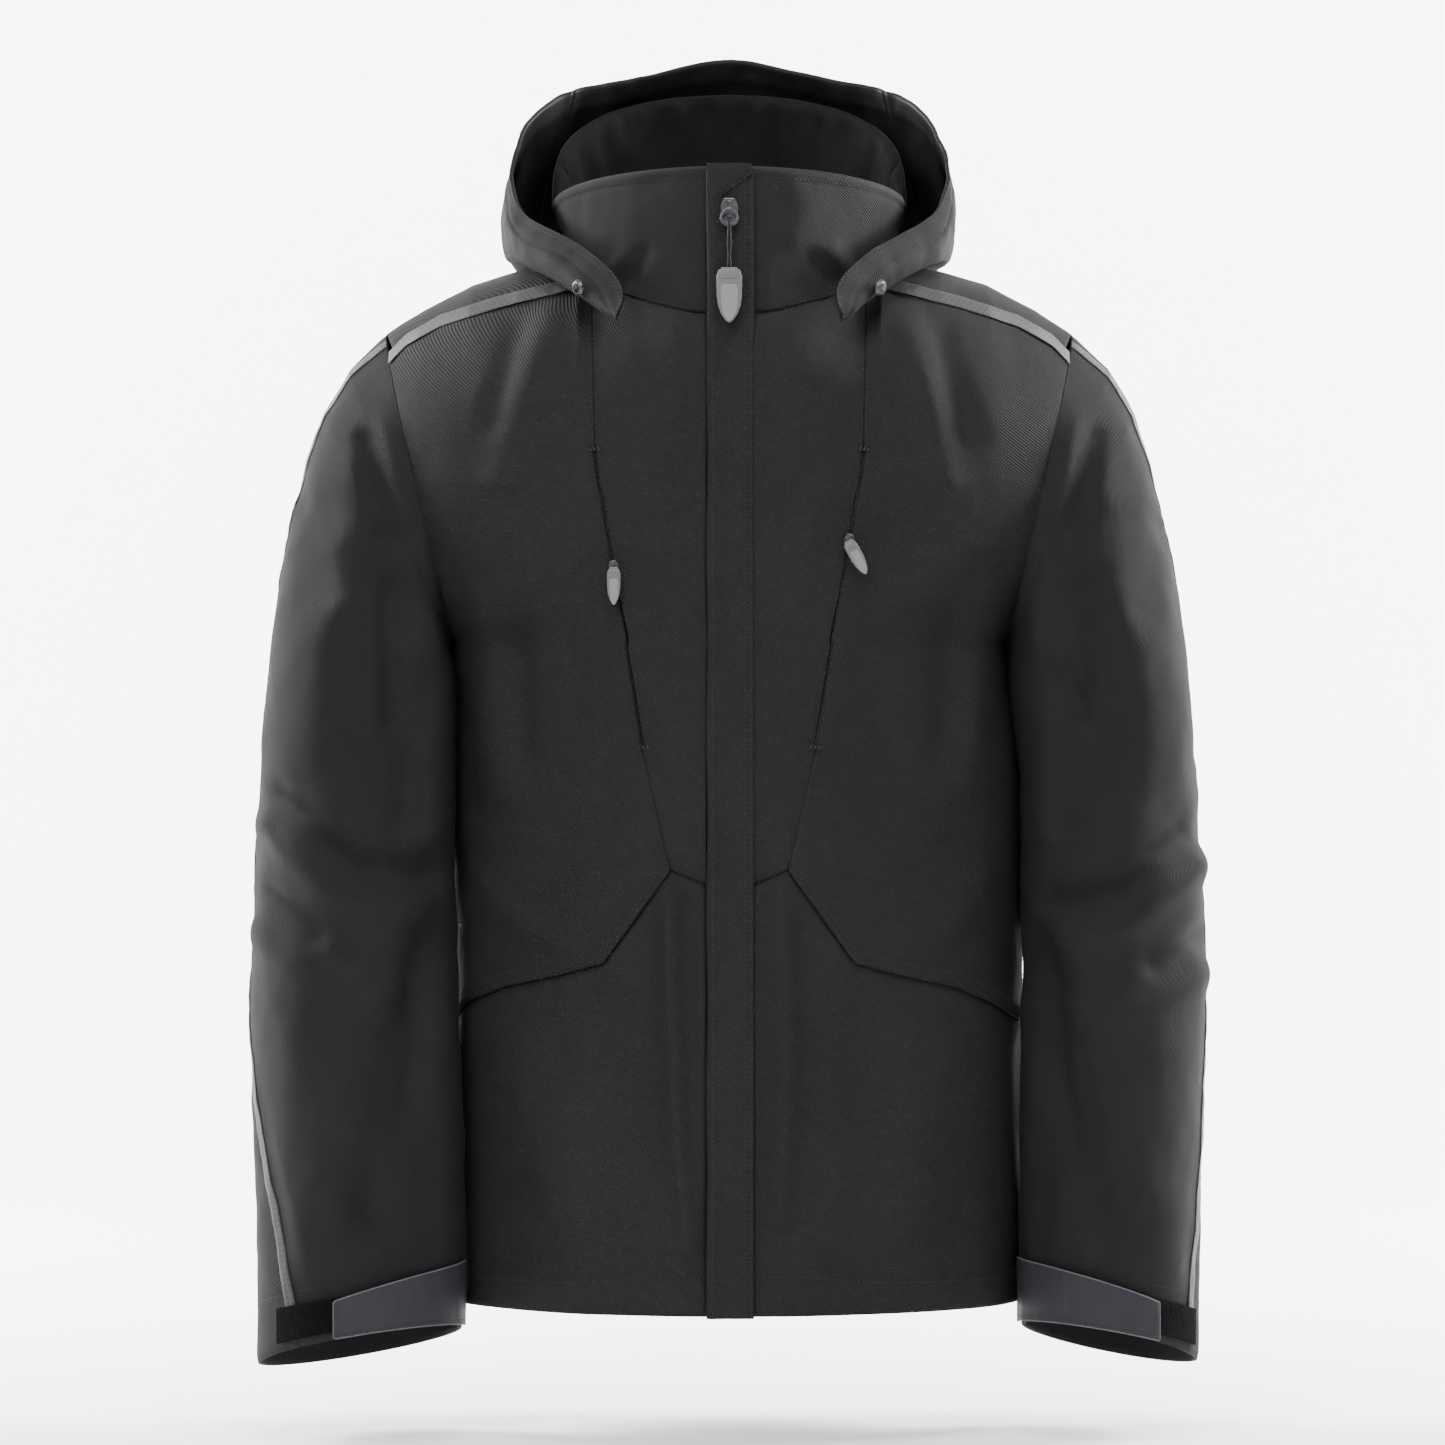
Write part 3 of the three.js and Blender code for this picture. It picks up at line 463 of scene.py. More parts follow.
for side, sign, chest in SIDES:
    pocket = POCKET_EDGE + [(chest, -536)]
    side_front = torso_panel(sign, chest, -1, pocket, FORWARD_SEAM, princess(0.8),
                             side_edge(chest, -536, -62))
    cloth_piece(
        f"side_front_shell_{side}", side_front, 3.0, -sign, shell_twill, "jacket_body",
        [f"side_front_{side}"],
        torso_relief([("left", ZIP_LIP, 2.4), ("up", -0.5, 3), ("down", 1.2, 11), ("right", -0.3, 2.5)],
                     ["right", "up"]),
        torso_uv, 2.6, [("left", 2.6), ("down", 3.0), ("down", 9.0), ("up", 2.4)],
    )
    neck = [(16, neck_z(radians(-82)))] + [neck_point(a) for a in (-70, -50, -35)] + [SEAM_TOP]
    centre = torso_panel(
        sign, chest, -1, [(16, -435), POCKET_TOP], neck,
        [(16, -435), (16, neck[0][1])], princess(-0.8),
    )
    cloth_piece(
        f"centre_front_shell_{side}", centre, 3.0, -sign, shell_twill, "jacket_body",
        [f"centre_front_{side}"], torso_relief([("right", -0.6, 2.6), ("up", -1.2, 3), ("down", -1.0, 3)],
                                               ["left"]),
        torso_uv, 2.6, [("right", 2.6), ("up", 2.6), ("down", 2.4)],
    )
    lower = torso_panel(
        sign, chest, -1, [(16, HEM), (chest, HEM)], moved([(16, -435)] + pocket, 0, 5),
        [(16, HEM), (16, -431)], [(chest, HEM), (chest, -531)],
    )
    cloth_piece(
        f"lower_front_shell_{side}", lower, 3.0, -sign, shell_twill, "jacket_body",
        [f"lower_front_{side}"], torso_relief([("up", -3.4, 6.5), ("down", -1.6, 2.5),
                                               ("down", -0.9, 2.2, HEM_TURN)], ["left", "right"]),
        torso_uv, 2.6, [("down", HEM_TURN)],
    )

# ---- Back panel and yoke -------------------------------------------------------------------------
# The same twill: one piece from hem to shoulder blades, and a yoke that wraps over both shoulders.
# A felled seam joins them; the yoke's front edge carries the grey reflective tape.


def back_surface(low, high, keep=0.0):
    def surface(u, v):
        z = lerp(low, high, v)
        side, sign, chest = SIDES[1] if u < 0.5 else SIDES[0]
        edge = half_width(z, chest, 1) if z < UNDERARM else armhole_x(z)
        return torso(abs(u - 0.5) * 2 * angle_at(edge - keep, z, chest, 1), z, sign, chest, 1)
    return surface


cloth_piece(
    "back_shell", back_surface(HEM, -130), 3.6, 1, shell_twill, "jacket_body",
    ["back_panel"],
    torso_relief([("up", -0.9, 3), ("down", -1.6, 2.5)], ["left", "right", "up"]), torso_uv, 2.6,
    [("up", 2.6), ("down", HEM_TURN)],
)


def fall_angle(x, z, face):
    drop = max(0, (ridge(x, face) - z) / FALL)
    return acos(1 - drop) if drop < 1 else pi / 2 + drop - 1


def over_shoulder(x, sign, chest, psi):
    face = -1 if psi < 0 else 1
    turn = min(abs(psi), pi / 2)
    z = ridge(x, face) - FALL * (1 - cos(turn)) - (abs(psi) - turn) * FALL
    return torso(angle_at(x, z, chest, face), z, sign, chest, face)


def yoke_surface(u, v):
    side, sign, chest = SIDES[1] if u < 0.5 else SIDES[0]
    x = abs(u - 0.5) * 2 * armhole_x(lerp(-130, SHOULDER, sin(v * pi * 0.8)))
    low = fall_angle(x, -130, 1)
    neck_back = neck_z(acos(clamp(x / NECK_HALF)))
    forward = -fall_angle(x, through(FORWARD_SEAM, x) + 0.4, -1)
    top = fall_angle(x, min(neck_back, ridge(x, 1)), 1) if x < NECK_HALF else forward
    return over_shoulder(x, sign, chest, lerp(low, top, v))


def yoke_relief(p, edge):
    d = 1.0 * rumple(p, (70, 60, 90), 4.4) + 0.5 * rumple(p, (26, 26, 40), 2.7)
    d *= smooth(0, 18, edge["up"]) * smooth(0, 12, edge["left"]) * smooth(0, 12, edge["right"])
    return (d - 0.9 * np.exp(-((edge["down"] / 3) ** 2))) * smooth(0, 10, edge["up"])


cloth_piece(
    "yoke_shell", yoke_surface, 3.6, 1, shell_twill, "jacket_body", ["yoke"], yoke_relief,
    lambda p, wide, high: np.stack([p[..., 0], p[..., 1] - p[..., 2]], axis=-1) * 0.001, 2.6,
    [("down", 2.6)],
)

# ---- Sleeves -------------------------------------------------------------------------------------
# Two-piece padded sleeves of the same twill, sewn into the armhole, with their long seam under the tape.
# The cloth breaks into creases at the armpit and elbow and lies in one long fold down the forearm.
CUFF = -777
OUTER_RAIL = [
    (247, -43), (273, -68), (291, -99), (303, -136), (312, -170), (321, -220), (328, -277),
    (333, -350), (338, -430), (340, -510), (339, -590), (336, -670), (335, CUFF),
]
ARM = {
    "left": dict(inner=211.5, cuff=208, forward=-34, depth=72, tape_end=-35),
    "right": dict(inner=199.5, cuff=189, forward=-58, depth=70, tape_end=-58),
}


@lru_cache(maxsize=None)
def inner_rail(side):
    i, c, chest = ARM[side]["inner"], ARM[side]["cuff"], dict((s[0], s[2]) for s in SIDES)[side]
    gaps = ((-281, -1.2), (-293, -0.6), (-308, 0.4), (-330, 0.9), (-360, 0.9), (-410, 0.9))
    upper = [(half_width(z, chest, -1) + gap, z) for z, gap in gaps]
    lower = [(lerp(i, c, share), z) for share, z in ((0.3, -470), (0.5, -535), (0.8, -600))]
    lower += [(c, -665), (c, CUFF + 26)]
    return [(197.4, -262), (197.6, -270)] + upper + lower


def station(rail, t):
    s = clamp(t) * (len(rail) - 1)
    k = min(len(rail) - 2, int(s))
    return [lerp(a, b, s - k) for a, b in zip(rail[k], rail[k + 1])]


@lru_cache(maxsize=None)
def armhole_step(side, sign, angle):
    x, y, z = arm_tube(side, sign, 0.0, angle)
    chest = dict((s[0], s[2]) for s in SIDES)[side]
    face = -1 if y < 0 else 1
    return torso(angle_at(abs(x), z, chest, face), z, sign, chest, face)[1] - y


def sleeve(side, sign, t, angle):
    # The sleeve head starts on the edge of the body panels and eases out to its own round.
    x, y, z = arm_tube(side, sign, t, angle)
    if t < 0.15:
        y += armhole_step(side, sign, round(angle, 4)) * (1 - float(smooth(0, 0.15, t)))
    return (x, y, z)


def arm_tube(side, sign, t, angle):
    a, arm = radians(angle), ARM[side]
    outer, inner = station(OUTER_RAIL, t), station(inner_rail(side), t)
    depth = lerp(ARMHOLE_DEPTH, arm["depth"], float(smooth(0.3, 1, t)))
    across = depth * sin(a)
    x = (outer[0] + inner[0]) / 2 + (outer[0] - inner[0]) / 2 * cos(a)
    slope = 0.2 * float(smooth(0.4, 1, t))
    z = (outer[1] + inner[1]) / 2 + (outer[1] - inner[1]) / 2 * cos(a) - slope * across
    return (sign * x, arm["forward"] * float(smooth(0.05, 0.9, t)) + across, z)


def tape_angle(side, t):
    end = ARM[side]["tape_end"]
    route = [(0, -22), (0.12, -16), (0.3, -8), (0.45, 6), (0.68, 4), (0.78, -8), (0.9, end * 0.6), (1, end)]
    return through(route, t)


SLEEVE_FOLDS = {
    "right": [
        ([(-236, -110), (-214, -170), (-206, -230)], 13, 5.0), ([(-256, -120), (-240, -190)], 10, -3.4),
        ([(-215, -250), (-212, -320), (-216, -400)], 11, 4.0), ([(-238, -230), (-236, -320)], 10, -3.0),
        ([(-318, -372), (-262, -420), (-214, -428)], 10, -3.6),
        ([(-322, -396), (-272, -446), (-222, -456)], 13, 4.0),
        ([(-330, -470), (-290, -500), (-240, -508)], 14, 3.0), ([(-326, -442), (-290, -470)], 9, -3.0),
        ([(-226, -540), (-240, -620), (-244, -690)], 9, 2.0),
        ([(-306, -520), (-300, -600), (-304, -690)], 20, 2.4), ([(-212, -620), (-208, -690)], 9, -1.4),
        ([(-290, -250), (-296, -330)], 22, 2.0), ([(-306, -170), (-290, -230)], 12, -1.6),
        ([(-212, -470), (-226, -560), (-250, -665)], 15, -4.5),
        ([(-242, -480), (-258, -560), (-278, -650)], 20, 3.2),
        ([(-222, -290), (-218, -340), (-220, -385)], 14, -2.2),
    ],
    "left": [
        ([(238, -112), (218, -170), (214, -230)], 13, 4.6), ([(258, -118), (244, -180)], 10, -3.2),
        ([(222, -250), (224, -320), (226, -400)], 11, 3.6), ([(246, -230), (246, -320)], 10, -3.0),
        ([(322, -400), (276, -440), (232, -448)], 10, -3.6),
        ([(326, -424), (280, -466), (236, -476)], 13, 4.0),
        ([(334, -500), (296, -524), (250, -530)], 14, 3.0), ([(330, -474), (300, -492)], 9, -2.6),
        ([(240, -560), (250, -620), (250, -690)], 9, 1.8),
        ([(306, -560), (302, -640), (306, -700)], 20, 2.4), ([(222, -620), (220, -690)], 9, -1.2),
        ([(290, -250), (300, -330)], 22, 2.0), ([(308, -180), (292, -240)], 12, -1.6),
        ([(222, -480), (232, -560), (256, -660)], 15, -4.0),
        ([(250, -490), (264, -570), (284, -650)], 20, 2.8),
        ([(230, -290), (228, -340), (230, -395)], 14, -2.2),
    ],
}


def sleeve_relief(side, bulge):
    def relief(p, edge):
        # The armhole is held by its seam, the elbow rumples most, and the cuff is stiff again.
        high = edge["down"] / (edge["down"] + edge["up"] + 1e-6)
        live = smooth(0, 0.07, high) * smooth(0, 0.06, 1 - high)
        elbow = np.exp(-(((high - 0.52) / 0.14) ** 2))
        armpit = np.exp(-(((high - 0.16) / 0.1) ** 2))
        creased = 1.0 + 1.2 * elbow + 0.8 * armpit
        d = 2.2 * rumple(p, (60, 70, 120), 6.1) + 1.0 * creased * rumple(p, (40, 40, 30), 8.8)
        d += 0.5 * rumple(p, (16, 18, 18), 2.2)
        held_edges = smooth(2, 26, edge["left"]) * smooth(0, 20, edge["right"])
        for points, width, height in SLEEVE_FOLDS[side]:
            d += bulge * fold(p, points, width, height) * held_edges * 2.1
        d += 3.0 * smooth(222, 202, np.abs(p[..., 0])) * smooth(-262, -300, p[..., 2])
        d *= live
        d += 0.6 * rumple(p, (8, 8, 10), 3.6) * (np.exp(-((edge["left"] / 10) ** 2)))
        d -= 0.5 * np.exp(-((edge["down"] / 3) ** 2)) + 1.0 * np.exp(-((edge["up"] / 3) ** 2))
        return d - 0.5 * np.exp(-((edge["right"] / 3) ** 2))
    return relief


def shoulder_bend(side, sign):
    # Body names and a pivot axis over the first 80 mm below the armhole; the pieces given these are only
    # baked in place, not bent or attached.
    pivot = Vector((sign * 0.2225, 0, -0.153))
    return ("jacket_body", f"sleeve_{side}", pivot, pivot + Vector((sign * 0.078, 0, -0.017)))


for side, sign, chest in SIDES:
    bend = shoulder_bend(side, sign)
    for face, far in (("front", -180), ("back", 180)):
        def half(u, v, side=side, sign=sign, far=far):
            return sleeve(side, sign, v, lerp(tape_angle(side, v), far, u))
        way = sign if face == "back" else -sign
        cloth_piece(
            f"sleeve_{face}_shell_{side}", half, 3.2, way, shell_twill, bend,
            [f"sleeve_{face}_{side}"],
            sleeve_relief(side, 1.0 if face == "front" else 0.6),
            lambda p, wide, high: np.stack([wide, -high], axis=-1) * 0.001, 2.6,
            [("left", 6.6), ("up", 24.0), ("right", 2.4)],
        )

# ---- Reflective tape -----------------------------------------------------------------------------
# Grey perforated transfer tape, 8 mm wide, pressed over the shoulder seam and down the long sleeve seam.
# It bends with the sleeve, crumples a little near the neck, and shows its punched dots on the forearm.


def lengthways(p, wide, high):
    return np.stack([wide, high], axis=-1) * 0.001


tape = Finish("reflective_tape", 0.5, Specular_IOR_Level=0.25)
tape_place = tape.place()
tape_x, tape_y, _ = tape.axes(tape_place)
row = (tape_x / 0.0036).part() - 0.5
step = ((tape_y / 0.0042) + (tape_x / 0.0036 - (tape_x / 0.0036).part()) * 0.5).part() - 0.5
dot = (row * row + step * step * 1.3).below(0.045)
mottle = tape.noise(tape_place, 260.0)
tape_grey = tape.blend(mottle, (0.020, 0.0205, 0.0215), (0.034, 0.0345, 0.036))
tape.colour(tape.blend(dot, tape_grey, (0.006, 0.006, 0.0065)))
tape.rough(mottle * 0.25 + 0.42)
tape.bump(mottle * 0.6 - dot, 0.5, 0.0005)
reflective_tape = tape.material

for side, sign, chest in SIDES:
    def down_sleeve(u, v, side=side, sign=sign):
        t = lerp(0.0, 0.985, v)
        return sleeve(side, sign, t, tape_angle(side, t) + lerp(-3.5, 3.5, u))

    def lifted(p, edge, side=side):
        steps = dict(edge, left=np.zeros_like(edge["left"]), right=np.full_like(edge["right"], 50.0))
        return sleeve_relief(side, 0.0)(p, steps) + 0.75
    bend = shoulder_bend(side, sign)
    cloth_piece(f"sleeve_reflective_tape_{side}", down_sleeve, 1.8, sign, reflective_tape, bend,
                [f"sleeve_tape_{side}"], lifted, lengthways, 0.5, held=None)

    def over_yoke(u, v, sign=sign, chest=chest):
        x = lerp(104, armhole_x(-62) - 0.5, v)
        z = through(FORWARD_SEAM, x) + lerp(-5.5, 3.5, u)
        return torso(angle_at(x, z, chest, -1), z, sign, chest, -1)

    def crumpled(p, edge):
        near_neck = smooth(70, 0, edge["down"])
        return 1.1 + 0.9 * near_neck * rumple(p, (7, 30, 30), 1.9) + 0.25 * rumple(p, (14, 30, 20), 6.6)
    cloth_piece(f"shoulder_reflective_tape_{side}", over_yoke, 1.8, sign, reflective_tape, "jacket_body",
                [f"shoulder_tape_{side}"], crumpled, lengthways, 0.5, held=None)

# ---- Cuffs ---------------------------------------------------------------------------------------
# Each cuff closes with a slate-grey coated tab in a paler binding, which grips a black loop-pile patch.
# The tab is sewn to the inner side of the cuff; hooks under its free end hold the patch.
tab_cloth = woven("tab_cloth", (0.0065, 0.0065, 0.009), (0.015, 0.015, 0.0195), 0.0012, 0.66, 0.22, 0.0)
binding = woven("tab_binding", (0.035, 0.035, 0.039), (0.07, 0.07, 0.077), 0.001, 0.6, 0.2, 0.0, "Object")
pile = Finish("loop_pile", 0.95, Specular_IOR_Level=0.05)
pile_place = pile.place("Object")
fuzz = pile.noise(pile_place, 900.0, 6.0)
pile.colour(pile.blend(fuzz, (0.0003, 0.0003, 0.0003), (0.0042, 0.0042, 0.0044)))
pile.rough(fuzz * 0.1 + 0.88)
pile.bump(fuzz, 1.0, 0.0016)
hook_and_loop = pile.material


def tube(mesh, points, radius, sides=8):
    rings = []
    for k, point in enumerate(points):
        ahead = Vector(points[min(k + 1, len(points) - 1)]) - Vector(points[max(k - 1, 0)])
        turn = ahead.to_track_quat("Z", "Y").to_matrix().to_4x4()
        ring = bmesh.ops.create_circle(mesh, segments=sides, radius=radius,
                                       cap_ends=k in (0, len(points) - 1),
                                       matrix=Matrix.Translation(point) @ turn)
        rings.append(ring["verts"])
    for a, b in zip(rings, rings[1:]):
        edges = {e for v in a + b for e in v.link_edges if e.other_vert(v) in (a if v in a else b)}
        loops = [e for e in edges if len(e.link_faces) < 2]
        bmesh.ops.bridge_loops(mesh, edges=loops)
    bmesh.ops.recalc_face_normals(mesh, faces=mesh.faces[:])


TAB_START = {"left": -64, "right": -80}
for side, sign, chest in SIDES:
    start = TAB_START[side]

    def patch(u, v, side=side, sign=sign, start=start):
        return sleeve(side, sign, lerp(0.975, 0.995, v), lerp(start + 37, start - 4, u))
    cloth_piece(
        f"cuff_loop_patch_{side}", patch, 0.9, -sign, hook_and_loop, f"sleeve_{side}",
        [f"cuff_patch_{side}"], lambda p, edge: 2.6 + 0.35 * rumple(p, (1.7, 1.7, 1.7), 4.4),
        lengthways, 1.5,
    )

    def tab(u, v, side=side, sign=sign, start=start):
        return sleeve(side, sign, lerp(lerp(0.977, 0.955, u), 0.999, v), lerp(start, -171, u))

    def tab_relief(p, edge):
        d = 5.8 + 0.5 * rumple(p, (14, 16, 30), 3.3) + 0.35 * rumple(p, (5, 8, 16), 8.1)
        grooves = sum(np.exp(-(((edge["left"] - at) / 1.6) ** 2)) for at in (58, 62.5))
        d -= 0.5 * grooves * smooth(4, 9, edge["up"]) * smooth(8, 14, edge["down"])
        d -= 1.8 * smooth(22, 0, edge["right"])
        return d
    cloth_piece(
        f"cuff_closing_tab_{side}", tab, 1.6, -sign, tab_cloth, f"cuff_tab_{side}",
        [f"cuff_tab_{side}"], tab_relief, lengthways, 1.4, [("left", 3.0), ("up", 3.0)],
    )
    p, out = POINTS[f"cuff_closing_tab_{side}"]
    rim = np.concatenate([p[-1, ::-1], p[::-1, 0][1:], p[0][1:]]) + np.concatenate(
        [out[-1, ::-1], out[::-1, 0][1:], out[0][1:]]) * -0.5
    edging = bmesh.new()
    tube(edging, [Vector(k) * 0.001 for k in rim[::2]], 0.00062, 6)
    finish_mesh(f"cuff_tab_binding_{side}", edging, binding, f"cuff_tab_{side}")

    def hooks(u, v, side=side, sign=sign, start=start):
        return sleeve(side, sign, lerp(0.978, 0.993, v), lerp(start - 2, start - 24, u))
    cloth_piece(
        f"cuff_hook_strip_{side}", hooks, 1.0, -sign, hook_and_loop, f"cuff_tab_{side}",
        [f"cuff_hooks_{side}"], lambda p, edge: 3.9 + 0.3 * rumple(p, (1.5, 1.5, 1.5), 7.4),
        lengthways, 0.7,
    )

# ---- Front strip and zip -------------------------------------------------------------------------
# A zip strip faced with the shell twill: its edge on the wearer's right stands proud and is turned under,
# the other is stitched down twice. The zip tapes, coil and bottom box sit behind it, over a soft wind flap.
STRIP_TOP = 62


def front_y(z):
    return -(FRONT_DEPTH + 2.6 - (z - HEM) * 0.004)


def strip_relief(p, edge):
    z = p[..., 2]
    d = 0.5 + 0.5 * rumple(p, (22, 30, 60), 4.9) + 0.3 * rumple(p, (9, 20, 22), 6.3)
    lift = 1.8 + 1.8 * np.exp(-(((z + 678) / 34) ** 2)) + 0.6 * rumple(p, (400, 90, 90), 1.2)
    d += lift * smooth(15, 3, edge["left"]) - 1.6 * np.exp(-((edge["left"] / 1.6) ** 2))
    d -= 0.7 * np.exp(-((edge["right"] / 2.0) ** 2)) + 0.5 * np.exp(-(((edge["right"] - 4) / 1.2) ** 2))
    return d * smooth(-4, 8, edge["up"])


def strip_face(u, v):
    z = lerp(HEM - 1, STRIP_TOP, v)
    return (lerp(-15.8, 17.2, u) - 0.9 * sin(v * 40) * (1 - u) * 0.5, front_y(z), z)


cloth_piece(
    "front_strip_shell", strip_face, 1.5, -1, shell_twill, "jacket_body", ["front_strip"],
    strip_relief, lambda p, wide, high: np.stack([p[..., 0], p[..., 2]], axis=-1) * 0.001, 2.2,
    [("left", 4.5), ("right", 2.0), ("right", 6.0), ("down", HEM_TURN)],
)
zip_tape = woven("zip_tape", (0.003, 0.003, 0.0034), (0.011, 0.011, 0.012), 0.0011, 0.8, 0.3)
lining_cloth = woven("lining_taffeta", (0.0014, 0.0014, 0.0017), (0.0060, 0.0060, 0.0068), 0.0009, 0.55,
                     0.15, gloss=0.12)
for side, sign, chest in SIDES:
    def tape_face(u, v, sign=sign):
        z = lerp(HEM + 4, 56, v)
        return (sign * lerp(3, 14, u), front_y(z) + 3.8, z)
    cloth_piece(
        f"front_zip_tape_{side}", tape_face, 3.5, -sign, zip_tape, "jacket_body",
        [f"zip_tape_{side}"],
        lambda p, edge: 0.25 * rumple(p, (6, 10, 12), 3.0), lengthways, 1.0, [("right", 2.0)],
    )


def flap_face(u, v):
    z = lerp(HEM + 6, 58, v)
    return (lerp(-13.5, 13.5, u), front_y(z) + 7.2, z)


cloth_piece(
    "inner_wind_flap", flap_face, 3.5, -1, lining_cloth, "jacket_body", ["wind_flap"],
    lambda p, edge: 0.4 * rumple(p, (8, 10, 30), 3.0), lengthways, 2.6, [("left", 2.0), ("right", 2.0)],
)
coil_plastic = woven("coil_plastic", (0.006, 0.006, 0.0065), (0.02, 0.02, 0.021), 0.0012, 0.38, 0.1, 0.0,
                     "Object")
gunmetal = Finish("gunmetal", 0.38, Metallic=0.9)
metal_place = gunmetal.place("Object")
worn = gunmetal.noise(metal_place, 420.0, 5.0)
gunmetal.colour(gunmetal.blend(worn, (0.035, 0.035, 0.038), (0.09, 0.091, 0.096)))
gunmetal.rough(worn * 0.3 + 0.25)
gunmetal.bump(worn, 0.15, 0.0002)
dark_metal = gunmetal.material
teeth = bmesh.new()
for k in range(392):
    z = HEM + 15 + k * 2.0
    if z > STRIP_TOP - 15:
        break
    lean = 0.7 if k % 2 else -0.7
    place = Matrix.Translation((lean * 0.001, (front_y(z) + 4.9) * 0.001, z * 0.001))
    size = Matrix.Diagonal((0.0021, 0.00085, 0.00055, 1))
    bmesh.ops.create_icosphere(teeth, subdivisions=1, radius=1, matrix=place @ size)
finish_mesh("front_zip_coil", teeth, coil_plastic, "jacket_body", ["zip_coil"])


def block(mesh, low, high, bevel, segments=3):
    made = bmesh.ops.create_cube(mesh, size=1)["verts"]
    for v in made:
        v.co = Vector(lerp(a, b, c + 0.5) for a, b, c in zip(low, high, v.co)) * 0.001
    edges = list({e for v in made for e in v.link_edges})
    bmesh.ops.bevel(mesh, geom=edges, offset=bevel * 0.001, segments=segments, profile=0.5, affect="EDGES",
                    material=-1)


box = bmesh.new()
y = front_y(HEM + 8)
block(box, (-2.6, y + 3.8, HEM + 4.2), (2.6, y + 6.6, HEM + 13.5), 0.7)
block(box, (-1.6, y + 3.2, HEM + 6.4), (1.6, y + 4.2, HEM + 9.0), 0.35)
finish_mesh("zip_bottom_stop", box, dark_metal, "jacket_body", ["zip_bottom_box"], False)


def guard_relief(p, edge):
    puff = np.minimum(np.minimum(edge["left"], edge["right"]), np.minimum(edge["up"], edge["down"]))
    return 1.6 + 1.1 * smooth(0, 5, puff) + 0.5 * rumple(p, (9, 9, 7), 2.1)


cloth_piece(
    "chin_guard_shell",
    lambda u, v: (lerp(-15.6, 15.6, u), front_y(STRIP_TOP) - 0.2, lerp(lerp(36, 60, u), 67.5, v)),
    1.4, -1, shell_twill, "jacket_body", ["chin_guard"], guard_relief,
    lambda p, wide, high: np.stack([p[..., 0], p[..., 2]], axis=-1) * 0.001, 1.8, [("down", 1.8)],
    held="folded",
)

# ---- Main slider and puller ----------------------------------------------------------------------
# A gunmetal slider with a ring plate, a doubled black cord through the ring, and a moulded bullet puller.
# The puller is grey with a silver recessed face; the ring and all below it swing from the slider.
SLIDER_Z = 34
slider_y = front_y(SLIDER_Z) - 0.4


def plate(mesh, outline, depth, bevel, turn=Matrix.Identity(4), segments=2):
    verts = [mesh.verts.new((x * 0.001, 0, z * 0.001)) for x, z in outline]
    face = mesh.faces.new(verts)
    made = bmesh.ops.extrude_face_region(mesh, geom=[face])["geom"]
    moved_verts = [g for g in made if isinstance(g, bmesh.types.BMVert)]
    bmesh.ops.translate(mesh, verts=moved_verts, vec=(0, depth * 0.001, 0))
    both = verts + moved_verts
    edges = list({e for v in both for e in v.link_edges})
    made = bmesh.ops.bevel(mesh, geom=edges, offset=bevel * 0.001, segments=segments, profile=0.5,
                           affect="EDGES",
                           material=-1)
    every = {v for v in both if v.is_valid} | set(made["verts"])
    bmesh.ops.transform(mesh, matrix=turn, verts=list(every))
    bmesh.ops.recalc_face_normals(mesh, faces=mesh.faces[:])


def at_place(x, y, z, spin=0.0):
    return Matrix.Translation((x * 0.001, y * 0.001, z * 0.001)) @ Matrix.Rotation(spin, 4, "Y")


runner = bmesh.new()
crown = [(-3.9, 9), (-6.3, 3), (-5.4, -9), (5.4, -9), (6.3, 3), (3.9, 9)]
plate(runner, crown, -3.8, 0.8, at_place(0, slider_y, SLIDER_Z))
plate(runner, [(-1.6, 7), (-2.0, -5), (2.0, -5), (1.6, 7)], -1.6, 0.5,
      at_place(0, slider_y - 3.4, SLIDER_Z))
finish_mesh("main_zip_slider", runner, dark_metal, "main_slider", ["main_slider"], False)

ring = bmesh.new()
ring_y, ring_z = front_y(SLIDER_Z) - 5.2, SLIDER_Z + 2
outer = bmesh.ops.create_circle(ring, segments=28, radius=1)["verts"]
inner = bmesh.ops.create_circle(ring, segments=28, radius=1)["verts"]
for v in outer:
    taper = 1.0 - 0.28 * (v.co.y + 1) / 2
    v.co = Vector((v.co.x * 7.6 * taper, 0, -6.4 + v.co.y * 6.8))
for v in inner:
    v.co = Vector((v.co.x * 4.6, 0, -7.1 + v.co.y * 3.6))
bmesh.ops.bridge_loops(ring, edges=ring.edges[:])
made = bmesh.ops.extrude_face_region(ring, geom=ring.faces[:])["geom"]
bmesh.ops.translate(ring, verts=[g for g in made if isinstance(g, bmesh.types.BMVert)], vec=(0, -1.4, 0))
bmesh.ops.recalc_face_normals(ring, faces=ring.faces[:])
rims = [e for e in ring.edges if e.calc_face_angle(0) > 0.9]
bmesh.ops.bevel(ring, geom=rims, offset=0.35, segments=2, profile=0.5, affect="EDGES", material=-1)
bmesh.ops.transform(ring, matrix=at_place(0, ring_y, ring_z) @ Matrix.Scale(0.001, 4), verts=ring.verts)
finish_mesh("main_ring_plate", ring, dark_metal, "main_puller", ["main_bail"])

cord = bmesh.new()
cord_y, cord_top = ring_y - 2.4, SLIDER_Z - 7
for lean in (-1, 1):
    path = [(lean * 0.9, cord_y + 1.4, cord_top + 1.4), (lean * 1.0, cord_y, cord_top - 1.0)]
    path += [(lean * (0.85 - 0.25 * sin(k * 1.1)), cord_y, cord_top - 1 - k * 3.3) for k in range(1, 11)]
    tube(cord, [Vector(k) * 0.001 for k in path], 0.00062, 8)
finish_mesh("main_puller_loop", cord, coil_plastic, "main_puller", ["main_puller_cord"])

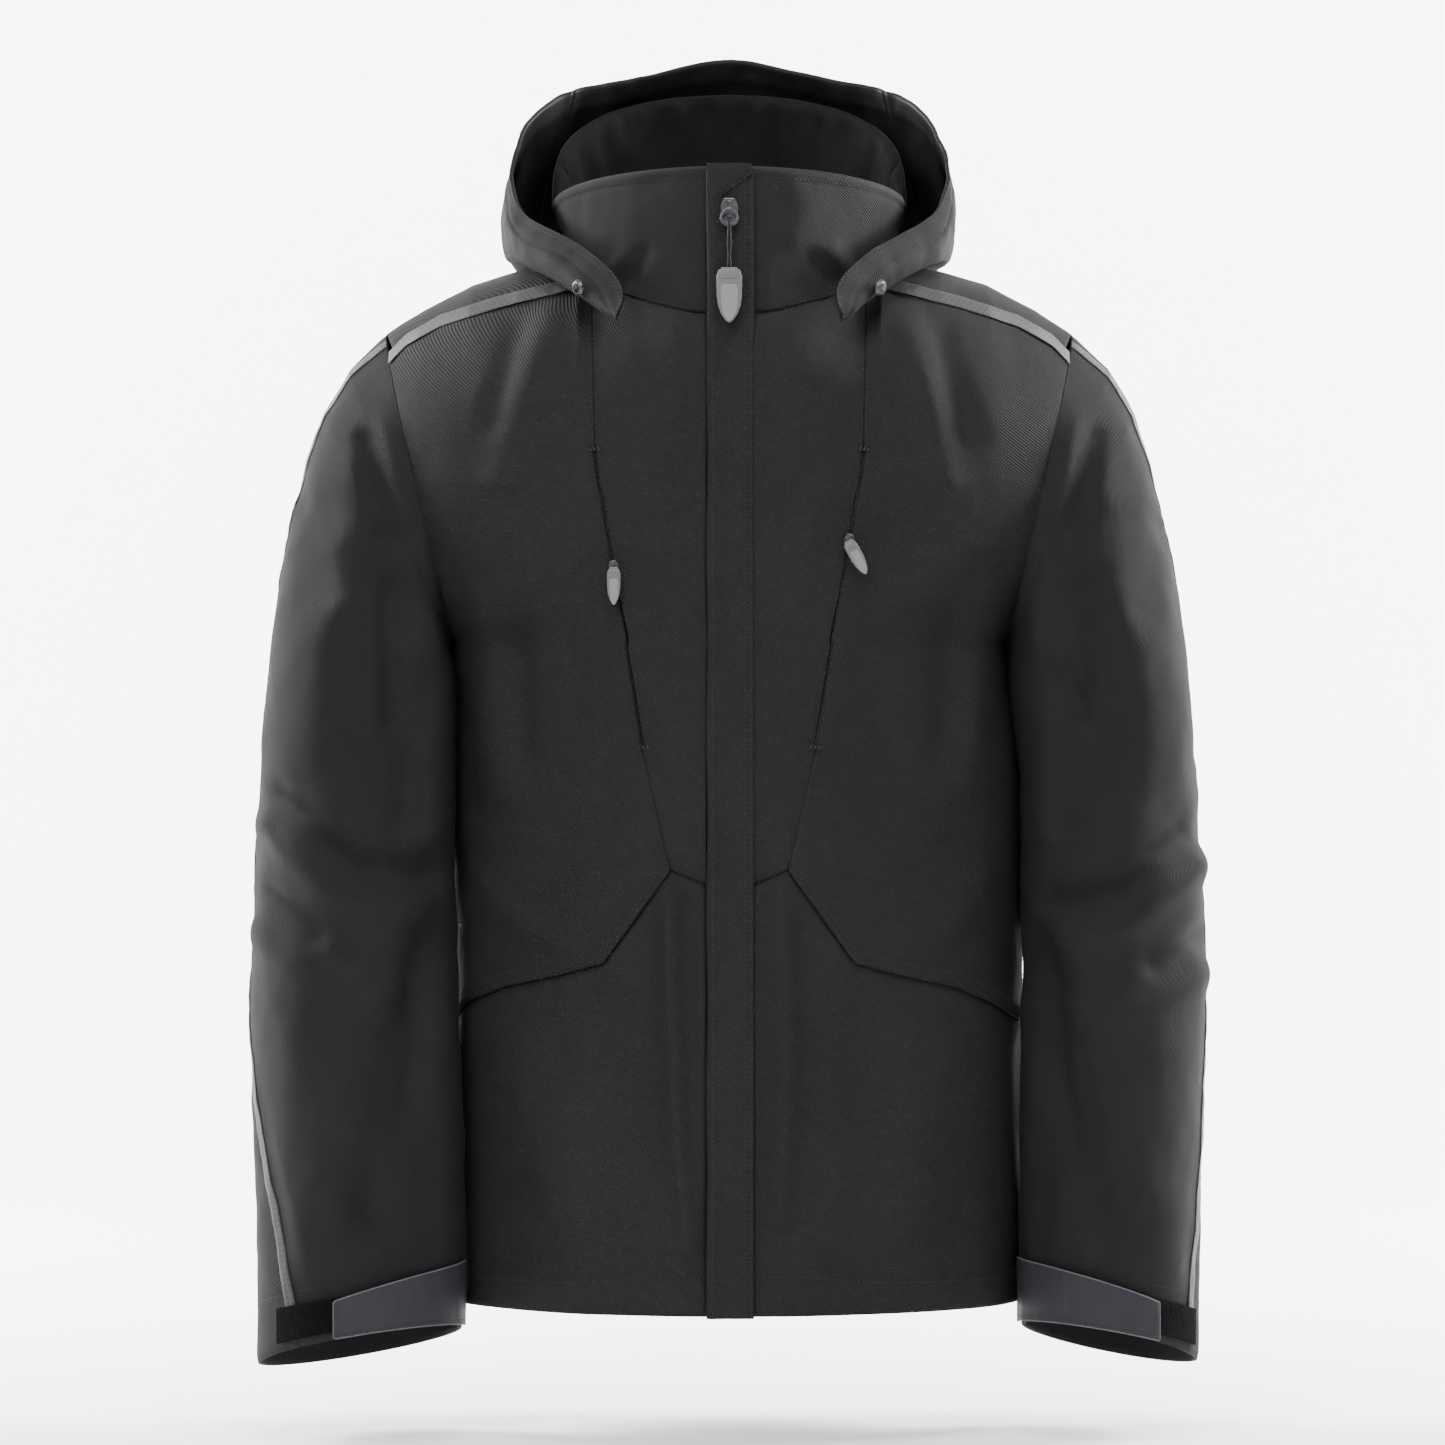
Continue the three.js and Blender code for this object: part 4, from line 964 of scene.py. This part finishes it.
puller = Finish("puller_plastic", 0.45, Specular_IOR_Level=0.5)
puller_place = puller.place("Object")
grain = puller.noise(puller_place, 700.0)
puller.colour(puller.blend(grain, (0.055, 0.057, 0.06), (0.085, 0.087, 0.092)))
puller.rough(grain * 0.2 + 0.38)
puller.bump(grain, 0.12, 0.0002)
puller_grey = puller.material
silver = Finish("puller_silver_face", 0.4, Metallic=0.35)
silver_place = silver.place("Object")
brushed = silver.noise(silver_place, 1400.0)
silver.colour(silver.blend(brushed, (0.115, 0.118, 0.124), (0.175, 0.178, 0.187)))
silver.rough(brushed * 0.2 + 0.32)
silver.bump(brushed, 0.1, 0.0002)
puller_silver = silver.material


# The bullet's outline as shares of half its width and of its length, from the top's left corner round.
BULLET_SIDE = [(1, -0.13), (0.97, -0.5), (0.86, -0.68), (0.62, -0.84), (0.3, -0.95)]
BULLET = [(-0.82, 0), (0.82, 0)] + BULLET_SIDE + [(0, -1)] + [(-x, z) for x, z in BULLET_SIDE[::-1]]


def bullet(width, length, inset=0.0):
    return [(x * (width / 2 - inset), -inset + z * (length - 2 * inset)) for x, z in BULLET]


def moulded_puller(name, width, length, thick, place, body, node):
    shape = bmesh.new()
    plate(shape, bullet(width, length), -thick * 0.86, 0.55, place)
    plate(shape, [(-width * 0.3, 1.6), (width * 0.3, 1.6), (width * 0.36, -1), (-width * 0.36, -1)],
          -thick * 0.7, 0.4,
          place)
    bar = [(-width * 0.34, -length * 0.13), (width * 0.34, -length * 0.13), (width * 0.34, -length * 0.16),
           (-width * 0.34, -length * 0.16)]
    plate(shape, bar, -thick * 0.16, 0.12, place @ Matrix.Translation((0, -thick * 0.00084, 0)))
    obj = finish_mesh(name, shape, puller_grey, body, [node], False)
    face = bmesh.new()
    drop = place @ Matrix.Translation((0, -thick * 0.00084, -length * 0.00012))
    plate(face, [(x, z - length * 0.08) for x, z in bullet(width, length * 0.86, width * 0.17)],
          -thick * 0.13, 0.18, drop)
    finish_mesh(f"{name}_silver_face", face, puller_silver, body, (), False)
    return obj


moulded_puller("main_zip_puller", 18, 37, 4.5, at_place(0, cord_y + 1.1, cord_top - 34.4), "main_puller",
               "main_puller")

# ---- Chest zips ----------------------------------------------------------------------------------
# A slanted zip each side hides in the slot between the centre and side panels, bar-tacked at both ends.
# Behind it are its tape and a taffeta pocket bag; its small slider carries a short grey bullet puller.
for side, sign, chest in SIDES:
    def on_zip(t, aside, sign=sign, chest=chest):
        x = lerp(CHEST_ZIP_END[0], CHEST_ZIP_TOP[0], t) + aside
        z = lerp(CHEST_ZIP_END[1], CHEST_ZIP_TOP[1], t)
        return torso(angle_at(x, z, chest, -1), z, sign, chest, -1)
    cloth_piece(
        f"chest_zip_tape_{side}", lambda u, v, on_zip=on_zip: on_zip(lerp(-0.02, 1.02, v), lerp(-8, 8, u)),
        2.5, -sign, zip_tape, "jacket_body", [f"chest_zip_{side}"],
        lambda p, edge: -3.6 + 0 * p[..., 0], lengthways, 0.9,
    )
    small_teeth = bmesh.new()
    length = hypot(CHEST_ZIP_TOP[0] - CHEST_ZIP_END[0], CHEST_ZIP_TOP[1] - CHEST_ZIP_END[1])
    slant = atan2(CHEST_ZIP_TOP[0] - CHEST_ZIP_END[0], CHEST_ZIP_TOP[1] - CHEST_ZIP_END[1]) * sign
    for k in range(int(length / 1.7)):
        x, y, z = on_zip(k * 1.7 / length, 0)
        turn = Matrix.Rotation(slant, 4, "Y") @ Matrix.Diagonal((0.0017, 0.0008, 0.0005, 1))
        place = Matrix.Translation((x * 0.001, (y + 2.7) * 0.001, z * 0.001)) @ turn
        bmesh.ops.create_icosphere(small_teeth, subdivisions=1, radius=1, matrix=place)
    finish_mesh(f"chest_zip_coil_{side}", small_teeth, coil_plastic, "jacket_body")

    tacks = bmesh.new()
    for t in (-0.005, 1.005):
        for k in range(9):
            a, b = Vector(on_zip(t, -4.5 + k * 0.1)), Vector(on_zip(t, 4.5))
            line = np.array([a, b]) + np.array([0, -0.9, (k - 4) * 0.28])
            stitch_row(tacks, line[:, :], np.array([[0.0, -1, 0], [0.0, -1, 0]]), 2.9, 0.8)
    finish_mesh(f"chest_bar_tacks_{side}", tacks, sewing_thread, "jacket_body")

    def chest_bag(u, v, sign=sign, chest=chest):
        x = lerp(30, lerp(CHEST_ZIP_END[0], CHEST_ZIP_TOP[0], v) + 63, u)
        z = lerp(CHEST_ZIP_END[1] - 20, CHEST_ZIP_TOP[1] + 4, v)
        return torso(angle_at(x, z, chest, -1), z, sign, chest, -1)
    cloth_piece(
        f"chest_pocket_lining_{side}", chest_bag, 4, -sign, lining_cloth, "jacket_body",
        [f"chest_pocket_bag_{side}"], lambda p, edge: -6.0 + 0.6 * rumple(p, (25, 40, 30), 6.0),
        lengthways, 1.1, [("left", 3.0), ("down", 3.0)],
    )

    def hand_bag(u, v, sign=sign, chest=chest):
        x = lerp(48, 165, u)
        z = lerp(-700, -505 + 20 * (1 - u), v)
        return torso(angle_at(x, z, chest, -1), z, sign, chest, -1)
    cloth_piece(
        f"hand_pocket_lining_{side}", hand_bag, 4, -sign, lining_cloth, "jacket_body",
        [f"hand_pocket_bag_{side}"], lambda p, edge: -5.6 + 0.6 * rumple(p, (25, 40, 30), 8.0),
        lengthways, 1.1, [("left", 3.0), ("down", 3.0)],
    )
    x, y, z = on_zip(0.69 if sign > 0 else 0.6, 0)
    y -= 2.2
    small = bmesh.new()
    plate(small, [(-2.1, 5.4), (-3.5, 2), (-3.0, -5.4), (3.0, -5.4), (3.5, 2), (2.1, 5.4)], -2.2, 0.5,
          at_place(x, y, z, slant))
    plate(small, [(-1.0, 4), (-1.2, -2.6), (1.2, -2.6), (1.0, 4)], -1.0, 0.3,
          at_place(x, y - 2.0, z, slant))
    finish_mesh(f"chest_zip_slider_{side}", small, dark_metal, f"chest_slider_{side}",
                [f"chest_slider_{side}"], False)
    moulded_puller(f"chest_zip_puller_{side}", 9.5, 25, 3,
                   at_place(x, y - 3.3, z - 1, -0.5 if sign > 0 else 0.0),
                   f"chest_puller_{side}", f"chest_puller_{side}")

# ---- Collar --------------------------------------------------------------------------------------
# A tall stand collar in two plies, shell twill outside and a softer facing inside, rolled at the top edge.
# It is sewn into the neckline and topstitched 8 mm below the roll; a hanging loop is sewn in at the back.
def neckline(a, lift):
    face = -1 if sin(a) < 0 else 1
    side, sign, chest = SIDES[1] if cos(a) < 0 else SIDES[0]
    x, z = abs(NECK_HALF * cos(a)), neck_z(a)
    x, y, _ = torso(angle_at(x, z, chest, face), min(z, ridge(x, face)), sign, chest, face)
    return (x, y, z + lift)


def collar_top(a):
    return lerp(50, 66, -sin(a)) if sin(a) < 0 else lerp(50, 139, sin(a) ** 0.6)


def collar(a, v):
    low = neckline(a, 0.2)
    y = -front_y(66) - 1.5 if sin(a) < 0 else 95
    high = (129 * cos(a), y * sin(a), collar_top(a))
    belly = 3 * sin(v * pi)
    at = [lerp(b, c, v) for b, c in zip(low, high)]
    return (at[0] + belly * cos(a), at[1] + max(0, belly * sin(a)), at[2])


def collar_surface(u, v):
    end = degrees(asin((STRIP_HALF + 0.4) / lerp(NECK_HALF, 129, v)))
    return collar(radians(lerp(-90 + end, 270 - end, u)), v)


def collar_relief(inner):
    def relief(p, edge):
        front = smooth(-20, -80, p[..., 1])
        d = 1.5 * rumple(p, (34, 40, 60), 5.1) + 0.7 * rumple(p, (14, 16, 26), 9.4)
        for points, width, height in (
            ([(-76, 2), (-88, -14)], 7, 3.2), ([(-60, 6), (-70, -10)], 6, -2.6),
            ([(72, 8), (88, -10)], 7, 3.2),
            ([(58, 4), (70, -8)], 6, -2.4), ([(-40, 20), (-56, 40)], 9, 1.4),
            ([(44, 18), (60, 40)], 9, 1.4),
        ):
            d += fold(p, points, width, height) * front
        if inner:
            d = 4.4 * rumple(p, (24, 30, 44), 2.3) + 1.8 * rumple(p, (12, 14, 22), 6.2)
            d = d * smooth(0, 12, edge["up"]) - 5.8 + 2.6 * np.exp(-((edge["up"] / 4) ** 2))
            return d
        d *= smooth(0, 14, edge["left"]) * smooth(0, 14, edge["right"]) * smooth(0, 9, edge["up"])
        d -= 0.7 * np.exp(-((edge["up"] - 8) / 1.8) ** 2)
        return d - 2.4 * np.exp(-((edge["up"] / 2.2) ** 2)) - 0.8 * np.exp(-((edge["down"] / 2.5) ** 2))
    return relief


cloth_piece(
    "collar_shell", collar_surface, 2.4, -1, shell_twill, "jacket_body", ["collar_outer"],
    collar_relief(False), lengthways, 3.0, [("up", 8.0), ("down", 2.4)],
)
# The facing's colours are set darker than the shell twill's: painted shade standing for the hood's shadow
# in the collar's hollow.
facing_cloth_painted_shade = woven("collar_facing_twill_painted_shade", (0.0009, 0.00095, 0.001), (0.0058, 0.0059, 0.0063), 0.0021,
                     0.82, 0.5, gloss=0.06)
cloth_piece(
    "collar_facing_cloth", lambda u, v: collar_surface(lerp(0.012, 0.988, u), lerp(0.03, 0.995, v)),
    2.4, -1, facing_cloth_painted_shade, "jacket_body", ["collar_facing"], collar_relief(True),
    lengthways, 2.4,
    [("up", 8.0)],
)


def loop_ribbon(u, v):
    x = lerp(-35, 35, u)
    y = through([(-35, 61), (-30, 54), (-16, 51), (0, 50), (16, 51), (30, 54), (35, 61)], x)
    z = through([(-35, 50), (-30, 46), (-16, 40), (0, 38), (16, 40), (30, 46), (35, 50)], x)
    return (x, y, z + lerp(-3, 3, v))


cloth_piece("hanger_loop_tape", loop_ribbon, 1.5, -1, zip_tape, "jacket_body",
            ["hanger_loop"],
            lambda p, edge: 0 * p[..., 0], lengthways, 1.2, [("up", 1.2), ("down", 1.2)], held=None)

# ---- Hood ----------------------------------------------------------------------------------------
# A three-panel hood of shell twill lined with black taffeta, lying open behind the collar.
# Its rim is hemmed, and its pointed front tabs come over the collar and snap to it with small metal caps.
HOOD_RAILS = [
    [(0, 108, 34), (60, 96, 32), (112, 56, 26), (133, 0, 21), (127, -50, 13), (102, -95, -4),
     (74, -127, -30)],
    [(0, 142, -50), (72, 136, -42), (132, 90, -8), (158, 20, 11), (148, -38, 5), (114, -96, -16),
     (76, -134, -44)],
    [(0, 188, 40), (92, 168, 44), (150, 100, 48), (164, 26, 46), (158, -38, 28), (119, -99, -3),
     (79, -139, -40)],
    [(0, 132, 171), (62, 124, 158), (126, 84, 138), (154, 22, 98), (151, -30, 48), (98, -103, 8),
     (64, -140, -24)],
]


def smooth_line(points, t, mirrored=False):
    last = len(points) - 1
    i = min(int(clamp(t) * last), last - 1)
    w = clamp(t) * last - i
    p1, p2 = points[i], points[i + 1]
    p0 = points[i - 1] if i else tuple(2 * a - b for a, b in zip(p1, p2))
    if mirrored and not i:
        p0 = (-p2[0], p2[1], p2[2])
    p3 = points[i + 2] if i + 2 <= last else tuple(2 * b - a for a, b in zip(p1, p2))
    spans = ((p0, p1), (p1, p2), (p2, p3))
    gaps = [max(sum((a - b) ** 2 for a, b in zip(q, r)) ** 0.25, 1e-4) for q, r in spans]
    out = []
    for a, b, c, d in zip(p0, p1, p2, p3):
        m1 = ((b - a) / gaps[0] - (c - a) / (gaps[0] + gaps[1]) + (c - b) / gaps[1]) * gaps[1]
        m2 = ((c - b) / gaps[1] - (d - b) / (gaps[1] + gaps[2]) + (d - c) / gaps[2]) * gaps[1]
        out.append(b + m1 * w + (3 * (c - b) - 2 * m1 - m2) * w * w + (2 * (b - c) + m1 + m2) * w ** 3)
    return tuple(out)


@lru_cache(maxsize=None)
def hood_rails(reach):
    return tuple(smooth_line(rail, reach, True) for rail in HOOD_RAILS)


def hood(u, v):
    reach = abs(u - 0.5) * 2
    tip = clamp((reach - 0.9) / 0.1)
    v = 0.66 + (v - 0.66) * max(0.1, sqrt(1 - tip * tip) ** 0.7)
    x, y, z = smooth_line(hood_rails(round(reach, 7)), v)
    return (-x if u < 0.5 else x, y, z)


def hood_relief(p, edge):
    back = smooth(40, 120, p[..., 1])
    d = 2.6 * rumple(p, (44, 44, 60), 3.9) + 1.3 * rumple(p, (18, 20, 26), 7.1)
    d += 0.4 * rumple(p, (8, 9, 10), 2.8)
    d += back * 1.6 * rumple(p, (16, 60, 90), 5.6)
    d *= smooth(0, 12, edge["left"]) * smooth(0, 12, edge["right"]) * smooth(0, 8, edge["down"])
    d -= 0.9 * np.exp(-(((edge["up"] - 15) / 2.4) ** 2)) - 0.9 * np.exp(-((edge["up"] / 4) ** 2))
    return d - 0.8 * np.exp(-((edge["left"] / 2.6) ** 2)) - 0.8 * np.exp(-((edge["right"] / 2.6) ** 2))


for name, low, high in (("side_right", 0, 0.35), ("centre", 0.35, 0.65), ("side_left", 0.65, 1)):
    cloth_piece(
        f"hood_{name}_shell", lambda u, v, low=low, high=high: hood(lerp(low, high, u), v), 2.8, 1,
        shell_twill, "hood", [f"hood_{name}"], hood_relief, lengthways, 2.6,
        [("up", 15.0), ("up", 2.6), ("left", 2.6), ("right", 2.6)], held="folded",
        lining=lining_cloth,
    )
for side, sign, chest in SIDES:
    u = 0.948 if sign > 0 else 0.052
    at = Vector(hood(u, 0.62))
    out = (Vector(hood(u, 0.65)) - at).cross(Vector(hood(u + 0.004, 0.62)) - at).normalized()
    cap = bmesh.new()
    rim = bmesh.ops.create_circle(cap, segments=28, radius=0.0058, cap_ends=True)
    for drop, radius in ((0.0007, 0.0058), (0.0016, 0.0048), (0.0021, 0.0036), (0.0017, 0.0026),
                         (0.0021, 0.0014)):
        crown_face = max(cap.faces, key=lambda f: f.calc_center_median().z)
        made = bmesh.ops.extrude_face_region(cap, geom=[crown_face])["geom"]
        for v in (g for g in made if isinstance(g, bmesh.types.BMVert)):
            v.co.z = drop
            v.co.xy = v.co.xy.normalized() * radius
    bmesh.ops.recalc_face_normals(cap, faces=cap.faces[:])
    turn = out.to_track_quat("Z", "Y").to_matrix().to_4x4()
    bmesh.ops.transform(cap, matrix=Matrix.Translation((at + out * 1.6) * 0.001) @ turn, verts=cap.verts)
    finish_mesh(f"hood_snap_cap_{side}", cap, dark_metal, "hood", [f"hood_snap_{side}"])

# ---- Linings and facings -------------------------------------------------------------------------
# Black taffeta over thin wadding lines the body and sleeves, stitched in level channels 64 mm apart.
# Strips of the shell twill face the hem from inside and are topstitched through it.
QUILT_PITCH = 64


def quilted(depth, run):
    def relief(p, edge):
        wave = np.abs(np.sin(p[..., 2] * pi / QUILT_PITCH)) ** 0.6
        calm = smooth(0, 14, edge["left"]) * smooth(0, 14, edge["right"]) * smooth(0, 10, edge["down"])
        return -depth - 2.0 + 2.2 * wave * calm + run * rumple(p, (26, 30, 12), 4.7) * calm
    return relief


for side, sign, chest in SIDES:
    def inside(u, v, sign=sign, chest=chest):
        z = lerp(HEM + 34, -78, v)
        most = pi / 2 - 0.004 if z < UNDERARM else angle_at(armhole_x(z) - 6, z, chest, -1)
        return torso(lerp(angle_at(26, z, chest, -1), most, u), z, sign, chest, -1)
    cloth_piece(f"front_quilted_lining_{side}", inside, 6, -sign, lining_cloth, "jacket_body",
                [f"front_lining_{side}"], quilted(9.0, 0.8), lengthways, 3.4, held="padded")

    def arm_lining(u, v, side=side, sign=sign):
        return sleeve(side, sign, lerp(0.09, 0.97, v), lerp(-178, 178, u))
    bend = shoulder_bend(side, sign)
    cloth_piece(f"sleeve_quilted_lining_{side}", arm_lining, 6, sign, lining_cloth, bend,
                [f"sleeve_lining_{side}"], quilted(9.0, 0.8), lengthways, 2.0, held="padded")

    def hem_band(u, v, sign=sign, chest=chest):
        turn = lerp(angle_at(26, HEM, chest, -1), pi / 2 - 0.004, u)
        return torso(turn, lerp(HEM + 1, HEM + 33, v), sign, chest, -1)
    cloth_piece(f"hem_facing_strip_{side}", hem_band, 4, -sign, shell_twill, "jacket_body",
                [f"hem_facing_{side}"], lambda p, edge: -4.6 + 0.4 * rumple(p, (20, 20, 12), 3.0),
                torso_uv, 1.2,
                [("up", 2.4)])
cloth_piece("back_quilted_lining", back_surface(HEM + 34, -70, 6), 6, 1, lining_cloth, "jacket_body",
            ["back_lining"], quilted(9.0, 0.8), lengthways, 3.4, held="padded")
cloth_piece("hem_facing_strip_back", back_surface(HEM + 1, HEM + 33, 0.4), 4, 1, shell_twill, "jacket_body",
            ["hem_facing_back"], lambda p, edge: -4.6 + 0.4 * rumple(p, (20, 20, 12), 3.0),
            torso_uv, 1.2,
            [("up", 2.4)])

# ---- Stage ---------------------------------------------------------------------------------------
# A plain pale studio: a seamless sweep of white paper, soft boxes on both sides and above, and the camera.
sweep = bmesh.new()
bmesh.ops.create_grid(sweep, x_segments=8, y_segments=48, size=0.5)
for vert in sweep.verts:
    run = (vert.co.y + 0.5) * 13 - 5
    bend_start, radius = 2.2, 1.6
    turn = min(max((run - bend_start) / radius, 0), pi / 2)
    y = min(run, bend_start) + radius * sin(turn)
    z = radius * (1 - cos(turn)) + max(0, run - bend_start - radius * pi / 2)
    vert.co = (vert.co.x * 16, y, z - 0.83)
paper = Finish("white_paper", 0.9, Specular_IOR_Level=0.1)
grain = paper.noise(paper.place("Object"), 300.0)
paper.colour(paper.blend(grain, (0.9, 0.9, 0.9), (0.94, 0.94, 0.94)))
data = bpy.data.meshes.new("floor")
sweep.to_mesh(data)
sweep.free()
data.materials.append(paper.material)
data.polygons.foreach_set("use_smooth", [True] * len(data.polygons))
floor = bpy.data.objects.new("floor", data)
bpy.context.scene.collection.objects.link(floor)

world = bpy.data.worlds.new("studio")
world.use_nodes = True
world.node_tree.nodes["Background"].inputs[0].default_value = (1, 1, 1, 1)
world.node_tree.nodes["Background"].inputs[1].default_value = 0.3
bpy.context.scene.world = world
for name, place, target, size, power in (
    ("key", (-1.5, -3.2, 1.7), (0, 0, -0.3), 1.1, 105),
    ("fill", (2.4, -3.0, 0.5), (0, 0, -0.3), 1.6, 24),
    ("top", (0.2, -0.9, 2.4), (0, 0, -0.2), 1.6, 40),
    ("backdrop_left", (-2.4, 0.9, 0.9), (0.4, 3.6, -0.1), 1.6, 580),
    ("backdrop_right", (2.4, 0.9, 0.9), (-0.4, 3.6, -0.1), 1.6, 580),
    ("floor_wash", (0, -1.6, 1.9), (0, 1.6, -0.8), 1.6, 85),
):
    lamp = bpy.data.lights.new(name, "AREA")
    lamp.shape, lamp.size, lamp.size_y, lamp.energy = "RECTANGLE", size, size, power
    light = bpy.data.objects.new(name, lamp)
    light.location = place
    light.rotation_euler = (Vector(target) - Vector(place)).to_track_quat("-Z", "Y").to_euler()
    bpy.context.scene.collection.objects.link(light)

view = bpy.data.cameras.new("camera")
view.lens, view.sensor_width = 138.4, 36
camera = bpy.data.objects.new("camera", view)
camera.location = (-0.0047, -4.0, -0.322)
camera.rotation_euler = (pi / 2, 0, 0)
bpy.context.scene.collection.objects.link(camera)
bpy.context.scene.camera = camera
